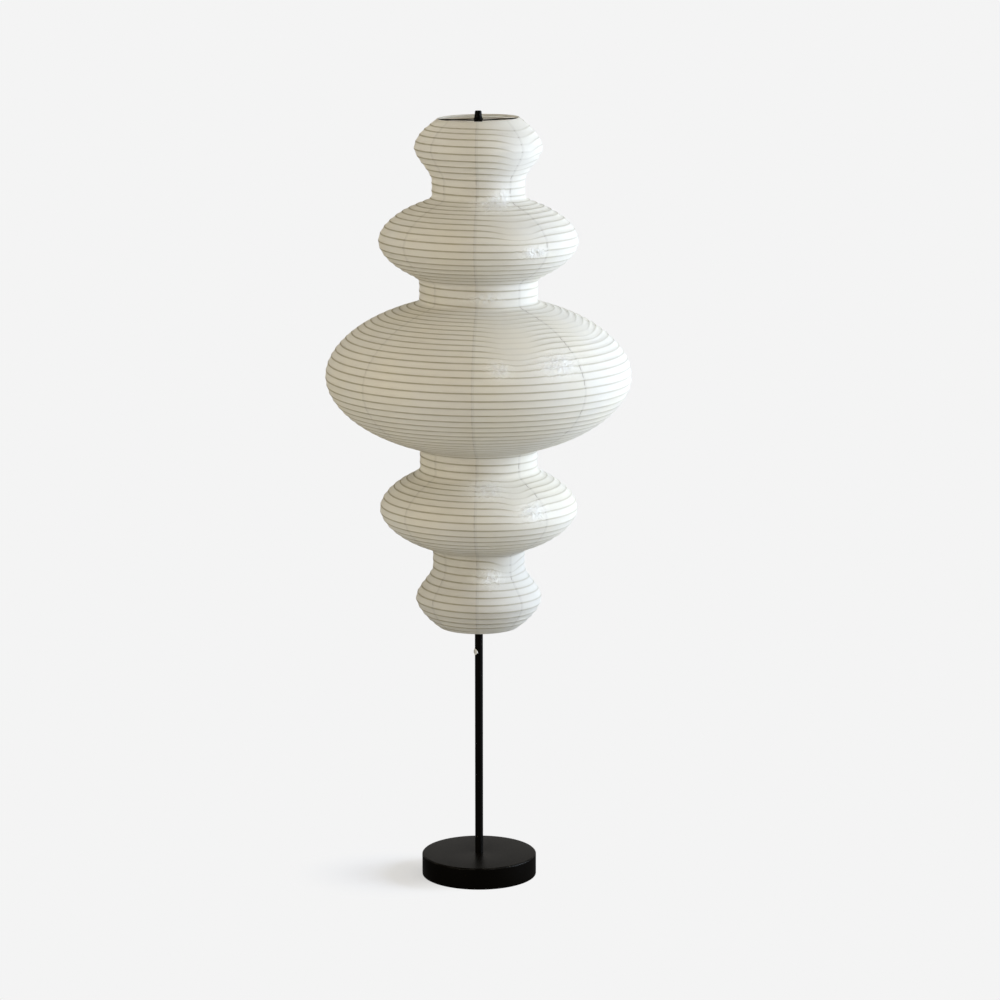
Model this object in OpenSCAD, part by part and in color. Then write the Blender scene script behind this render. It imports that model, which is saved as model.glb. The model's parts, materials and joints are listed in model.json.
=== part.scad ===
// Paper lantern floor lamp: a five-tier ribbed paper lantern hung from the top of a
// slim tubular pole that stands on a weighted disc base. Three upright lamps are held
// on short side arms inside the lantern. Millimetres, +Z up, origin at the middle of
// the face that the base rests on.

/* [Base] */
// Diameter of the disc base
base_d = 229; // [180:1:300]
// Height of the base's top face above the floor
base_top = 45; // [40:0.5:60]
// Chamfer along the base's upper edge
base_bevel = 2.2; // [1:0.1:4]
// Sheet thickness of the pressed base cover
cover_wall = 1.2; // [0.8:0.1:2]
// Thickness of the closing plate under the weight
plate_t = 1.2; // [0.8:0.1:2]
// Radius of the circle of screws that hold the closing plate
plate_screw_r = 70; // [50:1:85]
// Diameter of a rubber foot
pad_d = 16; // [10:0.5:24]
// Height of a rubber foot below the closing plate
pad_h = 1.5; // [1:0.1:3]
// Distance from the rim of the base to the middle of a foot
pad_inset = 18; // [14:0.5:30]
// Number of rubber feet
pad_count = 4; // [3:1:8]
// Shank diameter of the bolt that holds the pole down
foot_bolt_d = 10; // [8:0.5:10]
// Depth of the pocket under the weight for the bolt's head
bolt_pocket_h = 12; // [10:0.5:18]
// Diameter of that pocket and of the hole below it in the closing plate
bolt_pocket_d = 32; // [28:1:45]

/* [Pole] */
// Outer diameter of the pole tube
pole_d = 16; // [16:0.5:20]
// Wall thickness of the pole tube
pole_wall = 1.2; // [0.8:0.1:1.5]
// Length of one of the three pole sections
section_len = 488.5; // [460:0.5:560]
// Length of a sleeve that joins two sections
coupler_len = 40; // [30:1:60]
// Bore of that sleeve, through which the leads run
coupler_bore_d = 9.6; // [9:0.1:10]
// Length of the threaded plug in the foot of the pole
foot_plug_len = 30; // [20:1:45]
// Length of the plug of the top stud
top_plug_len = 20; // [12:1:30]

/* [Top fitting] */
// Diameter of the stud at the top of the pole
stud_d = 6; // [5:0.5:8]
// Height of the stud above the strap
stud_reach = 12; // [8:0.5:14]
// Thickness of the shoulder on which the strap rests
shoulder_t = 1.5; // [1:0.1:3]
// Width of the strap across the lantern's mouth
strap_w = 12; // [9:0.5:16]
// Thickness of the strap
strap_t = 2; // [1.5:0.1:3]
// Height of the mouth ring above the middle of the strap
strap_rise = 4; // [2:0.1:8]
// Diameter of the finial's flared foot
finial_foot_d = 18.5; // [15.5:0.5:24]
// Diameter of the finial's stem just above its foot
finial_stem_d = 14.5; // [13:0.5:15]
// Diameter of the finial at its top, where the stem is thinnest
finial_top_d = 12.5; // [12:0.5:13]
// Height of the finial
finial_h = 16.5; // [16:0.5:24]

/* [Lantern] */
// Height of the lantern from the middle of its paper to the edge of a mouth
lantern_half_h = 502.5; // [440:0.5:570]
// Radius of the middle tier
middle_tier_r = 300; // [260:1:330]
// Half height of the middle tier, as a share of the lantern's half height
middle_tier_share = 0.3124; // [0.3:0.0001:0.33]
// Fullness of the middle tier, 2 being an ellipse
middle_tier_bow = 1.92; // [1.7:0.01:2.2]
// Radius of the tiers above and below the middle one
second_tier_r = 195; // [170:1:220]
// Half height of those tiers, as a share of the lantern's half height
second_tier_share = 0.1871; // [0.175:0.0001:0.2]
// Fullness of those tiers
second_tier_bow = 1.85; // [1.6:0.01:2.2]
// Distance of those tiers from the middle one, as a share of the lantern's half height
second_tier_place = 0.5254; // [0.51:0.0001:0.54]
// Radius of the end tiers
end_tier_r = 125; // [120:1:140]
// Half height of the end tiers, as a share of the lantern's half height
end_tier_share = 0.1771; // [0.17:0.0001:0.185]
// Fullness of the end tiers
end_tier_bow = 1.57; // [1.5:0.01:1.7]
// Distance of the end tiers from the middle one, as a share of the lantern's half height
end_tier_place = 0.8856; // [0.875:0.0001:0.9]
// Radius of the necks beside the middle tier
inner_neck_r = 116; // [105:1:125]
// Radius of the necks beside the end tiers
outer_neck_r = 91; // [86:1:100]
// Width over which a tier runs into a neck
neck_blend = 23; // [15:1:35]
// Turn of the first seam about the pole, from +X
seam_turn = -2.2; // [-22:0.1:22]
// Thickness of the glued paper
paper_t = 0.6; // [0.4:0.1:0.9]
// Depth by which the paper is drawn in between two turns of the wire
paper_sag = 1.1; // [0.6:0.1:2]
// Diameter of the wire of the mouth rings
mouth_wire_d = 3; // [2.5:0.1:4]

/* [Rib wire] */
// Distance between two turns of the rib wire, along the paper
rib_pitch = 15.1; // [15:0.1:20]
// Diameter of the rib wire
rib_d = 1.6; // [1.2:0.1:2.4]
// Distance from a mouth's edge to the end of the rib wire
rib_end = 9; // [8:0.5:14]

/* [Lamps] */
// Distance of a lamp's axis from the pole's axis
lamp_offset = 42; // [40:0.5:44]
// Diameter of the bulb
bulb_d = 60; // [50:1:60]
// Height of the bulb's middle above its cap
bulb_mid_h = 52; // [48:1:60]
// Height of the glass neck above the cap, before it widens
bulb_neck_h = 8; // [5:0.5:12]
// Wall of the glass
glass_t = 1; // [0.8:0.1:1.5]
// Diameter of the screw cap
cap_d = 26.2; // [26:0.1:26.6]
// Depth of the screw cap in its holder
cap_depth = 20; // [18:0.5:22]
// Height of the cap above the holder's mouth
cap_rim_h = 3; // [2:0.5:6]
// Wall of the threaded brass sleeve
sleeve_wall = 0.4; // [0.3:0.1:0.6]
// Height of the lamp holder
holder_h = 50; // [46:1:60]
// Diameter of the lamp holder at its foot
holder_d = 37.2; // [36:0.2:38]
// Diameter of the lamp holder at its mouth
holder_mouth_d = 34; // [31:0.5:36]
// Wall of the cup that carries the holder
cup_wall = 1; // [0.8:0.1:1.5]
// Depth of that cup
cup_depth = 30; // [26:0.5:36]
// Outer diameter of the hollow side arm
arm_d = 10; // [9.6:0.1:10.4]
// Bore of the side arm
arm_bore_d = 7.4; // [7.2:0.1:8]
// Height of the arm's axis above the floor of the cup
arm_lift = 9; // [8.5:0.1:11]
// Diameter of the arm's two shoulders
arm_shoulder_d = 14; // [12:0.5:16]

/* [Leads and outlet] */
// Diameter of an inner lead
lead_d = 2.2; // [1.8:0.1:2.2]
// Distance between two leads side by side
lead_step = 2.4; // [2.3:0.05:2.5]
// Diameter of the splice that joins the leads
splice_d = 12.4; // [11.8:0.1:12.6]
// Length of that splice
splice_len = 26; // [20:1:40]
// Distance of the splice above the outlet
splice_lift = 14; // [10:1:30]
// Distance of the cord outlet below the upper end of the pole's lower section
outlet_drop = 73.5; // [60:0.5:110]
// Direction of the cord outlet about the pole, from +X
outlet_turn = -158; // [-180:1:180]
// Bore of the outlet grommet
outlet_bore_d = 6.8; // [6:0.1:7.4]
// Diameter of the grommet's outer flange
outlet_flange_d = 13; // [12:0.5:15]
// Thickness of the grommet's outer flange
outlet_flange_t = 1.1; // [1:0.1:2]
// Wall of the grommet's sleeve
outlet_wall = 1; // [0.8:0.1:1.3]

/* [Hidden] */
$fn = 96;

// Clearances: pieces that sit in or on each other, and pieces that turn in each other
seat = 0.05;
slack = 0.2;
turn_fit = 0.05;
cap_fit = 0.1;
soft_gap = 0.3;
seam_gap = 0.03;
finial_gap = 0.75;

// Length by which a cutting shape runs past the face that it cuts
past = 1;
round_fn = 180;

// Fasteners of the base and the arms
bolt_head_w = 17;
bolt_head_h = 6.4;
washer_d = 24;
washer_t = 2;
bolt_grip = 22;
bolt_spare = 2;
plate_screw_count = 3;
plate_screw_d = 4;
plate_screw_head_d = 8;
plate_screw_len = 14;
nut_w = 14;
nut_t = 4;
hex_fn = 6;

// Small edges and steps
pad_edge = 0.5;
stud_edge = 0.6;
splice_edge = 1;
outlet_reach = 2;
outlet_lip = 1;
outlet_proud = 0.3;
arm_reach = 1;
arm_spare = 1.2;
arm_shoulder_t = 2.5;
cup_edge = 3;
holder_wall = 3.6;
holder_edge = 1;
holder_step = 3;
sleeve_drop = 1.5;
rivet_d = 4;
contact_d = 10;
contact_boss_d = 5;
cap_tip_d = 9;
cap_tip_edge = 1;
cap_shoulder_w = 2;
cap_shoulder_h = 1.5;
bulb_neck_flare = 1.4;
bulb_neck_turn = -22;
finial_rim_t = 1.4;
finial_cove_h = 6;
finial_edge = 1;
strap_flat = 2;
strap_bite = 0.45;

// Base levels
pole_r = pole_d / 2;
pole_bore_r = pole_r - pole_wall;
plug_r = pole_bore_r - seat;
plate_top = pad_h + plate_t;
weight_top = base_top - cover_wall;
weight_r = base_d / 2 - cover_wall - slack;
bolt_hole_r = foot_bolt_d / 2 + slack;
pocket_top = plate_top + bolt_pocket_h;
pad_ring_r = base_d / 2 - pad_inset;

// Pole and top fitting levels
pole_top = base_top + 3 * section_len;
strap_bottom = pole_top + shoulder_t;
strap_mid = strap_bottom + strap_t / 2;
finial_z = strap_bottom + strap_t + finial_gap;
ring_z = strap_mid + strap_rise;

// Paper outline: s is the height above or below the middle of the lantern
middle_tier_h = middle_tier_share * lantern_half_h;
second_tier_h = second_tier_share * lantern_half_h;
second_tier_z = second_tier_place * lantern_half_h;
end_tier_h = end_tier_share * lantern_half_h;
end_tier_z = end_tier_place * lantern_half_h;
function tier(s, r, h, bow) = abs(s) < h ? r * pow(1 - pow(abs(s) / h, bow), 1 / bow) : 0;
function blend(a, b) = max(a, b) + pow(max(neck_blend - abs(a - b), 0), 2) / (4 * neck_blend);
function tiers(s) = blend(
    blend(tier(s, middle_tier_r, middle_tier_h, middle_tier_bow),
          tier(s - second_tier_z, second_tier_r, second_tier_h, second_tier_bow)),
    tier(s - end_tier_z, end_tier_r, end_tier_h, end_tier_bow));
function paper_r(z) = let (s = abs(z))
    s < second_tier_z ? blend(tiers(s), inner_neck_r)
    : s < end_tier_z ? blend(tiers(s), outer_neck_r)
    : tiers(s);

// The outline walked from the upper mouth to the lower one, by its own length
walk_steps = 1200;
function walk_z(i) = lantern_half_h * (1 - 2 * i / walk_steps);
walk = [for (i = [0:walk_steps]) [paper_r(walk_z(i)), walk_z(i)]];
walked = [for (i = 0, s = 0; i <= walk_steps;
    i = i + 1, s = s + (i <= walk_steps ? norm(walk[i] - walk[i - 1]) : 0)) s];
paper_len = walked[walk_steps];
r_table = [for (i = [0:walk_steps]) [walked[i], walk[i].x]];
z_table = [for (i = [0:walk_steps]) [walked[i], walk[i].y]];
function paper_at(s) = [lookup(s, r_table), lookup(s, z_table)];
run_probe = 1;
function paper_run(s) = let (d = paper_at(s + run_probe) - paper_at(s - run_probe)) d / norm(d);
function paper_out(s) = let (d = paper_run(s)) [-d.y, d.x];
function under_paper(s, depth) = paper_at(s) - depth * paper_out(s);

// Mouth rings: the paper's edge is folded over their wire
hem_r = paper_t + soft_gap + mouth_wire_d / 2;
ring_at = under_paper(0, hem_r);
hem_from = atan2(paper_out(0).y, paper_out(0).x);
hem_to = 115;
hem_steps = 6;
lantern_z = ring_z - ring_at.y;
lower_ring_z = lantern_z - ring_at.y;
outlet_z = base_top + section_len - outlet_drop;

// Rib wire: a left-handed winding whose turns lie a steady distance apart on the paper
rib_depth = paper_t + soft_gap + rib_d / 2;
rib_turns = (paper_len - 2 * rib_end) / rib_pitch;
rib_start_turn = seam_turn;
rib_sides = 4;
rib_rings_per_turn = 0.84;
rib_last_step = 12;
function rib_s(turn) = rib_end + rib_pitch * turn / 360;
function rib_step(turn) = 360 / (rib_rings_per_turn * sqrt(paper_at(rib_s(turn)).x));
rib_angles = [for (a = 0; a < 360 * rib_turns - rib_last_step; a = a + rib_step(a)) a];
rib_marks = concat(rib_angles, [360 * rib_turns]);
function about_pole(p, turn) = [p.x * cos(turn), p.x * sin(turn), p.y + lantern_z];
function rib_centre(turn) = about_pole(under_paper(rib_s(turn), rib_depth), rib_start_turn + turn);

// Gores: each one's ridges stand where the rib wire crosses its middle
gore_count = 8;
gore_turn = 360 / gore_count;
function gore_phase(g) = rib_end + rib_pitch * (g + 0.5) / gore_count;
gore_margin = 5;
function gore_marks(g) = [for (i = [-2:2 * rib_turns + 2])
    let (s = gore_phase(g) + i * rib_pitch / 2)
    if (s > gore_margin && s < paper_len - gore_margin) [s, i % 2 == 0 ? 0 : paper_sag]];
function gore_line(g, depth) = [for (m = gore_marks(g)) under_paper(m[0], m[1] + depth)];
function hem(r) = [for (i = [0:hem_steps])
    let (a = hem_from + (hem_to - hem_from) * i / hem_steps)
    ring_at + r * [cos(a), sin(a)]];
function flipped(points) = [for (i = [len(points) - 1:-1:0]) points[i]];
function lowered(points) = [for (p = points) [p.x, -p.y]];
function gore_outline(g) = concat(
    flipped(hem(hem_r)), gore_line(g, 0), lowered(hem(hem_r)),
    flipped(lowered(hem(hem_r - paper_t))), flipped(gore_line(g, paper_t)), hem(hem_r - paper_t));

// Lamp sets: place of each in the lantern, and levels measured from the bulb's middle
lamp_levels = [lantern_z + second_tier_z, lantern_z, lantern_z - second_tier_z];
lamp_turns = [0, 180, 0];
cap_top = -bulb_mid_h;
mouth_z = cap_top - cap_rim_h;
holder_floor = mouth_z - holder_h;
cup_bottom = holder_floor - cup_wall;
cup_r = holder_d / 2 + slack;
cup_inner_edge = cup_edge - cup_wall * (2 - sqrt(2));
cup_rim = holder_floor + cup_depth;
arm_z = holder_floor + arm_lift;
cap_bottom = cap_top - cap_rim_h - cap_depth;
cap_tip_h = 4;
contact_t = 1.4;
well_floor = cap_bottom - cap_tip_h - contact_t - slack;
web_t = 4;
chamber_top = well_floor - web_t;
cap_r = cap_d / 2;
sleeve_r = cap_r + cap_fit;
well_r = sleeve_r + sleeve_wall + seat;
nut_corner_r = nut_w / 2 / cos(30);
nut_at = lamp_offset - sqrt(pow(cup_r, 2) - pow(nut_corner_r, 2)) + slack;
arm_tip = nut_at + nut_t + arm_spare;
lead_bend_r = 5;

// ---- Helpers ----

// A ring between two radii
module tube(r_out, r_in, h) {
    difference() {
        cylinder(r = r_out, h = h);
        translate([0, 0, -past]) cylinder(r = r_in, h = h + 2 * past);
    }
}

// Stands its children along +X instead of +Z
module along_x() {
    rotate([0, 90, 0]) children();
}

// Puts its children at a lamp's level, with the lamp on the side that it leans to
module at_lamp(i) {
    translate([0, 0, lamp_levels[i]]) rotate([0, 0, lamp_turns[i]]) children();
}

// Copies its children round the pole's axis
module ring_of(count, r) {
    for (i = [0:count - 1]) rotate([0, 0, 360 * (i + 0.5) / count]) translate([r, 0, 0]) children();
}

// ---- Base ----

// Pressed steel shell: top face, chamfered edge and straight side
module base_cover() {
    r = base_d / 2;
    inner_bevel = base_bevel - cover_wall * (2 - sqrt(2));
    color([0.12, 0.12, 0.12])
        rotate_extrude($fn = round_fn)
            polygon([[bolt_hole_r, base_top], [r - base_bevel, base_top], [r, base_top - base_bevel],
                [r, pad_h], [r - cover_wall, pad_h],
                [r - cover_wall, base_top - cover_wall - inner_bevel],
                [r - cover_wall - inner_bevel, base_top - cover_wall],
                [bolt_hole_r, base_top - cover_wall]]);
}

// Cast disc that fills the cover, with a pocket for the bolt's head
module base_weight() {
    pocket_r = bolt_pocket_d / 2;
    color([0.55, 0.54, 0.52])
        difference() {
            rotate_extrude($fn = round_fn)
                polygon([[bolt_hole_r, weight_top - seat], [weight_r - base_bevel, weight_top - seat],
                    [weight_r, weight_top - seat - base_bevel], [weight_r, plate_top],
                    [pocket_r, plate_top], [pocket_r, pocket_top], [bolt_hole_r, pocket_top]]);
            ring_of(plate_screw_count, plate_screw_r)
                translate([0, 0, pad_h]) cylinder(d = plate_screw_d + 2 * seat, h = plate_screw_len + seat);
        }
}

// Steel disc that closes the cover from below, with countersunk holes
module base_plate() {
    head_r = plate_screw_head_d / 2;
    color([0.3, 0.3, 0.3])
        difference() {
            translate([0, 0, pad_h]) tube(weight_r, bolt_pocket_d / 2, plate_t);
            ring_of(plate_screw_count, plate_screw_r)
                translate([0, 0, pad_h - seat])
                    cylinder(r1 = head_r, r2 = head_r - plate_t, h = plate_t + 2 * seat);
        }
}

// Countersunk screws from the plate into the weight
module base_plate_screws() {
    head_r = plate_screw_head_d / 2 - seat;
    shank_r = plate_screw_d / 2;
    color([0.6, 0.6, 0.62])
        ring_of(plate_screw_count, plate_screw_r)
            translate([0, 0, pad_h])
                rotate_extrude()
                    polygon([[0, 0], [head_r, 0], [head_r - plate_t, plate_t],
                        [shank_r, plate_t], [shank_r, plate_screw_len], [0, plate_screw_len]]);
}

// Round rubber pads under the plate
module base_feet() {
    color([0.1, 0.1, 0.1])
        rotate([0, 0, 180 / pad_count])
            ring_of(pad_count, pad_ring_r)
                rotate_extrude()
                    polygon([[0, 0], [pad_d / 2 - pad_edge, 0], [pad_d / 2, pad_edge],
                        [pad_d / 2, pad_h], [0, pad_h]]);
}

// Hexagon bolt that draws the pole down on the base
module foot_bolt() {
    head_top = pocket_top - washer_t;
    color([0.65, 0.65, 0.67]) {
        translate([0, 0, head_top - bolt_head_h])
            cylinder(d = bolt_head_w / cos(30), h = bolt_head_h, $fn = hex_fn);
        translate([0, 0, head_top - past])
            cylinder(d = foot_bolt_d, h = base_top + bolt_grip - head_top + past);
    }
}

// Plain washer between the bolt's head and the weight
module foot_washer() {
    color([0.7, 0.7, 0.72])
        translate([0, 0, pocket_top - washer_t]) tube(washer_d / 2, bolt_hole_r, washer_t);
}

// ---- Pole ----

// Threaded plug fixed in the foot of the pole
module foot_plug() {
    color([0.6, 0.6, 0.6])
        translate([0, 0, base_top])
            difference() {
                cylinder(r = plug_r, h = foot_plug_len);
                translate([0, 0, -past]) cylinder(r = foot_bolt_d / 2 + seat, h = bolt_grip + bolt_spare + past);
            }
}

// One section of tube, with the holes for the arms and the outlet that fall in it
module pole_section(i) {
    color([0.07, 0.07, 0.07])
        difference() {
            translate([0, 0, base_top + i * section_len]) tube(pole_r, pole_bore_r, section_len);
            for (k = [0:2])
                at_lamp(k) translate([0, 0, arm_z]) along_x() cylinder(d = arm_d + 2 * seat, h = pole_d);
            translate([0, 0, outlet_z]) rotate([0, 0, outlet_turn])
                along_x() cylinder(r = outlet_bore_d / 2 + outlet_wall + seat, h = pole_d);
        }
}

// Sleeve inside the joint of two sections
module coupler(i) {
    color([0.6, 0.6, 0.6])
        translate([0, 0, base_top + i * section_len - coupler_len / 2])
            tube(plug_r, coupler_bore_d / 2, coupler_len);
}

// Plug, shoulder and stud at the top of the pole
module top_stud() {
    stud_top = shoulder_t + strap_t + stud_reach;
    color([0.1, 0.1, 0.1])
        translate([0, 0, pole_top])
            rotate_extrude()
                polygon([[0, -top_plug_len], [plug_r, -top_plug_len], [plug_r, 0], [pole_r, 0],
                    [pole_r, shoulder_t], [stud_d / 2, shoulder_t],
                    [stud_d / 2, stud_top - stud_edge], [stud_d / 2 - stud_edge, stud_top],
                    [0, stud_top]]);
}

// Pale grommet that lines the cord outlet: sleeve, saddle flange and inner lip
module cord_grommet() {
    bore_r = outlet_bore_d / 2;
    sleeve_out = bore_r + outlet_wall;
    lip_r = sleeve_out + outlet_lip;
    inner_end = pole_bore_r - outlet_reach;
    outer_end = pole_r + outlet_flange_t + outlet_proud;
    color([0.85, 0.85, 0.84])
        translate([0, 0, outlet_z]) rotate([0, 0, outlet_turn])
            difference() {
                union() {
                    translate([inner_end, 0, 0]) along_x() cylinder(r = sleeve_out, h = outer_end - inner_end);
                    intersection() {
                        along_x() cylinder(d = outlet_flange_d, h = pole_d);
                        translate([0, 0, -pole_r]) tube(pole_r + outlet_flange_t, pole_r + seat, pole_d);
                    }
                    intersection() {
                        translate([inner_end, 0, 0]) along_x() cylinder(r = lip_r, h = pole_wall + outlet_reach);
                        translate([0, 0, -pole_r]) cylinder(r = pole_bore_r - seat, h = pole_d);
                    }
                }
                along_x() cylinder(r = bore_r, h = 2 * pole_d);
            }
}

// ---- Leads ----

// Insulated splice in which the three leads meet above the outlet
module lead_splice() {
    color([0.2, 0.2, 0.22])
        translate([0, 0, outlet_z + splice_lift])
            rotate_extrude()
                polygon([[0, 0], [splice_d / 2 - splice_edge, 0], [splice_d / 2, splice_edge],
                    [splice_d / 2, splice_len - splice_edge], [splice_d / 2 - splice_edge, splice_len],
                    [0, splice_len]]);
}

// Quarter bend in the XZ plane, from straight up at x = 0 to along +X at height r
module lead_bend(r) {
    translate([r, 0, 0]) rotate([90, 0, 0])
        rotate_extrude(angle = 90, start = 90, $fn = 48) translate([r, 0]) circle(d = lead_d, $fn = 24);
}

// One lead for each lamp: up the pole, out through the arm and up to the holder
module inner_leads() {
    rise_x = -lead_d;
    drop_x = lamp_offset - lead_bend_r - lead_d;
    run_len = drop_x - rise_x;
    floor_z = outlet_z + splice_lift + splice_len + seat;
    color([0.75, 0.74, 0.7])
        for (k = [0:2]) {
            run_z = lamp_levels[k] + arm_z;
            rise_h = run_z - lead_bend_r - floor_z;
            drop_h = chamber_top - arm_z - lead_bend_r;
            translate([0, 0, run_z]) rotate([0, 0, lamp_turns[k]])
                translate([rise_x, lead_step * (k - 1), 0]) {
                    translate([0, 0, -lead_bend_r - rise_h]) cylinder(d = lead_d, h = rise_h, $fn = 24);
                    translate([0, 0, -lead_bend_r]) lead_bend(lead_bend_r);
                    translate([lead_bend_r, 0, 0])
                        along_x() cylinder(d = lead_d, h = run_len - lead_bend_r, $fn = 24);
                    translate([run_len + lead_bend_r, 0, lead_bend_r]) {
                        rotate([0, 180, 0]) lead_bend(lead_bend_r);
                        cylinder(d = lead_d, h = drop_h, $fn = 24);
                    }
                }
        }
}

// ---- Lamp sets ----

// Hollow arm with a saddle shoulder on the pole and another on the cup
module holder_arm(i) {
    start = pole_bore_r - arm_reach;
    color([0.1, 0.1, 0.1])
        at_lamp(i) translate([0, 0, arm_z])
            difference() {
                union() {
                    translate([start, 0, 0]) along_x() cylinder(d = arm_d, h = arm_tip - start);
                    translate([pole_bore_r, 0, 0])
                        along_x() cylinder(d = arm_shoulder_d, h = pole_wall + arm_shoulder_t);
                    translate([lamp_offset - cup_r - cup_wall - arm_shoulder_t, 0, 0])
                        along_x() cylinder(d = arm_shoulder_d, h = cup_wall + arm_shoulder_t);
                }
                along_x() cylinder(d = arm_bore_d, h = 2 * lamp_offset);
                difference() {
                    translate([0, 0, -arm_shoulder_d]) cylinder(r = pole_r + seat, h = 2 * arm_shoulder_d);
                    translate([-past, 0, 0]) along_x() cylinder(d = arm_d, h = pole_d);
                }
                difference() {
                    translate([lamp_offset, 0, -arm_shoulder_d])
                        cylinder(r = cup_r + cup_wall + seat, h = 2 * arm_shoulder_d);
                    along_x() cylinder(d = arm_d, h = lamp_offset);
                }
            }
}

// Hexagon nuts that hold the cups on their arms
module arm_nuts() {
    color([0.65, 0.65, 0.67])
        for (i = [0:2])
            at_lamp(i) translate([nut_at, 0, arm_z])
                along_x() difference() {
                    cylinder(r = nut_corner_r, h = nut_t, $fn = hex_fn);
                    translate([0, 0, -past]) cylinder(d = arm_d + 2 * seat, h = nut_t + 2 * past);
                }
}

// Spun metal cup with a hole for the arm
module holder_cup(i) {
    cup_out = cup_r + cup_wall;
    color([0.1, 0.1, 0.1])
        at_lamp(i) difference() {
            translate([lamp_offset, 0, 0])
                rotate_extrude()
                    polygon([[0, cup_bottom], [cup_out - cup_edge, cup_bottom],
                        [cup_out, cup_bottom + cup_edge], [cup_out, cup_rim], [cup_r, cup_rim],
                        [cup_r, holder_floor + cup_inner_edge], [cup_r - cup_inner_edge, holder_floor],
                        [0, holder_floor]]);
            translate([0, 0, arm_z]) along_x() cylinder(d = arm_d + 2 * seat, h = lamp_offset);
        }
}

// Moulded lamp holder: well for the brass sleeve, web, and a skirt that stands in the cup
module lampholder(i) {
    foot_r = holder_d / 2;
    mouth_r = holder_mouth_d / 2;
    chamber_r = foot_r - holder_wall;
    rivet_r = rivet_d / 2;
    slot_r = nut_corner_r + 2 * slack;
    color([0.92, 0.91, 0.88])
        at_lamp(i) difference() {
            translate([lamp_offset, 0, 0])
                rotate_extrude()
                    polygon([[foot_r - cup_edge, holder_floor], [foot_r, holder_floor + cup_edge],
                        [foot_r, cup_rim], [mouth_r, cup_rim + holder_step],
                        [mouth_r, mouth_z - holder_edge], [mouth_r - holder_edge, mouth_z],
                        [well_r, mouth_z], [well_r, well_floor], [rivet_r, well_floor],
                        [rivet_r, chamber_top], [chamber_r, chamber_top], [chamber_r, holder_floor]]);
            translate([0, -slot_r, holder_floor - past])
                cube([lamp_offset, 2 * slot_r, past + arm_lift + slot_r]);
        }
}

// Threaded brass sleeve in the holder's well
module thread_sleeve(i) {
    color([0.8, 0.65, 0.3])
        at_lamp(i) translate([lamp_offset, 0, well_floor + slack])
            tube(sleeve_r + sleeve_wall, sleeve_r, mouth_z - well_floor - slack - sleeve_drop);
}

// Riveted centre contact at the bottom of the well
module contact(i) {
    rivet_r = rivet_d / 2 - seat;
    boss_r = contact_boss_d / 2;
    disc_r = contact_d / 2;
    top = well_floor + contact_t;
    color([0.8, 0.65, 0.3])
        at_lamp(i) translate([lamp_offset, 0, 0])
            rotate_extrude()
                polygon([[0, chamber_top], [rivet_r, chamber_top], [rivet_r, well_floor],
                    [disc_r, well_floor], [disc_r, well_floor + contact_t / 2], [boss_r, top], [0, top]]);
}

// Screw cap of the bulb, with its insulator and tip
module bulb_cap(i) {
    tip_r = cap_tip_d / 2;
    tip_z = cap_bottom - cap_tip_h;
    color([0.75, 0.75, 0.76])
        at_lamp(i) translate([lamp_offset, 0, 0])
            rotate_extrude()
                polygon([[0, tip_z], [tip_r, tip_z], [tip_r + cap_tip_edge, tip_z + cap_tip_edge],
                    [cap_r - cap_shoulder_w, cap_bottom], [cap_r, cap_bottom + cap_shoulder_h],
                    [cap_r, cap_top], [0, cap_top]]);
}

// Glass envelope, open at the neck where the cap closes it
function bulb_line(shrink) = let (
        ball_r = bulb_d / 2 - shrink,
        neck_r = cap_r + bulb_neck_flare - shrink)
    concat([[cap_r - shrink, 0], [neck_r, bulb_neck_h]],
        [for (a = [bulb_neck_turn:8:82]) [ball_r * cos(a), bulb_mid_h + ball_r * sin(a)]],
        [[0, bulb_mid_h + ball_r]]);
module bulb_glass(i) {
    color([0.96, 0.95, 0.92])
        at_lamp(i) translate([lamp_offset, 0, cap_top])
            rotate_extrude()
                polygon(concat(bulb_line(0), flipped(bulb_line(glass_t))));
}

// ---- Lantern ----

// Knob that holds the strap on the stud
module finial() {
    foot_r = finial_foot_d / 2;
    stem_r = finial_stem_d / 2;
    top_r = finial_top_d / 2;
    bore_r = stud_d / 2 + turn_fit;
    bore_h = stud_reach;
    cove = [for (a = [0:15:90])
        [foot_r - (foot_r - stem_r) * sin(a), finial_rim_t + finial_cove_h * (1 - cos(a))]];
    color([0.06, 0.06, 0.06])
        translate([0, 0, finial_z])
            rotate_extrude()
                polygon(concat([[bore_r, 0], [foot_r, 0]], cove,
                    [[top_r, finial_h - finial_edge], [top_r - finial_edge, finial_h],
                    [0, finial_h], [0, bore_h], [bore_r, bore_h]]));
}

// Bent flat bar across the upper mouth, cut to the ring's wire at both ends
module top_strap() {
    flat = pole_r + strap_flat;
    end = ring_at.x - mouth_wire_d / 2 + strap_bite;
    half = strap_t / 2;
    color([0.08, 0.08, 0.08])
        difference() {
            translate([0, strap_w / 2, strap_mid]) rotate([90, 0, 0])
                linear_extrude(strap_w)
                    polygon([[-end, strap_rise - half], [-flat, -half], [flat, -half],
                        [end, strap_rise - half], [end, strap_rise + half], [flat, half],
                        [-flat, half], [-end, strap_rise + half]]);
            translate([0, 0, strap_bottom - past])
                cylinder(r = stud_d / 2 + turn_fit, h = strap_t + 2 * past);
            mouth_ring(ring_z, seat);
        }
}

// Torus of the mouth wire, at a height and grown by a clearance
module mouth_ring(z, grow) {
    translate([0, 0, z])
        rotate_extrude($fn = round_fn)
            translate([ring_at.x, 0]) circle(r = mouth_wire_d / 2 + grow, $fn = 36);
}

module top_ring() {
    color([0.2, 0.2, 0.2]) mouth_ring(ring_z, 0);
}

module bottom_ring() {
    color([0.2, 0.2, 0.2]) mouth_ring(lower_ring_z, 0);
}

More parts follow.
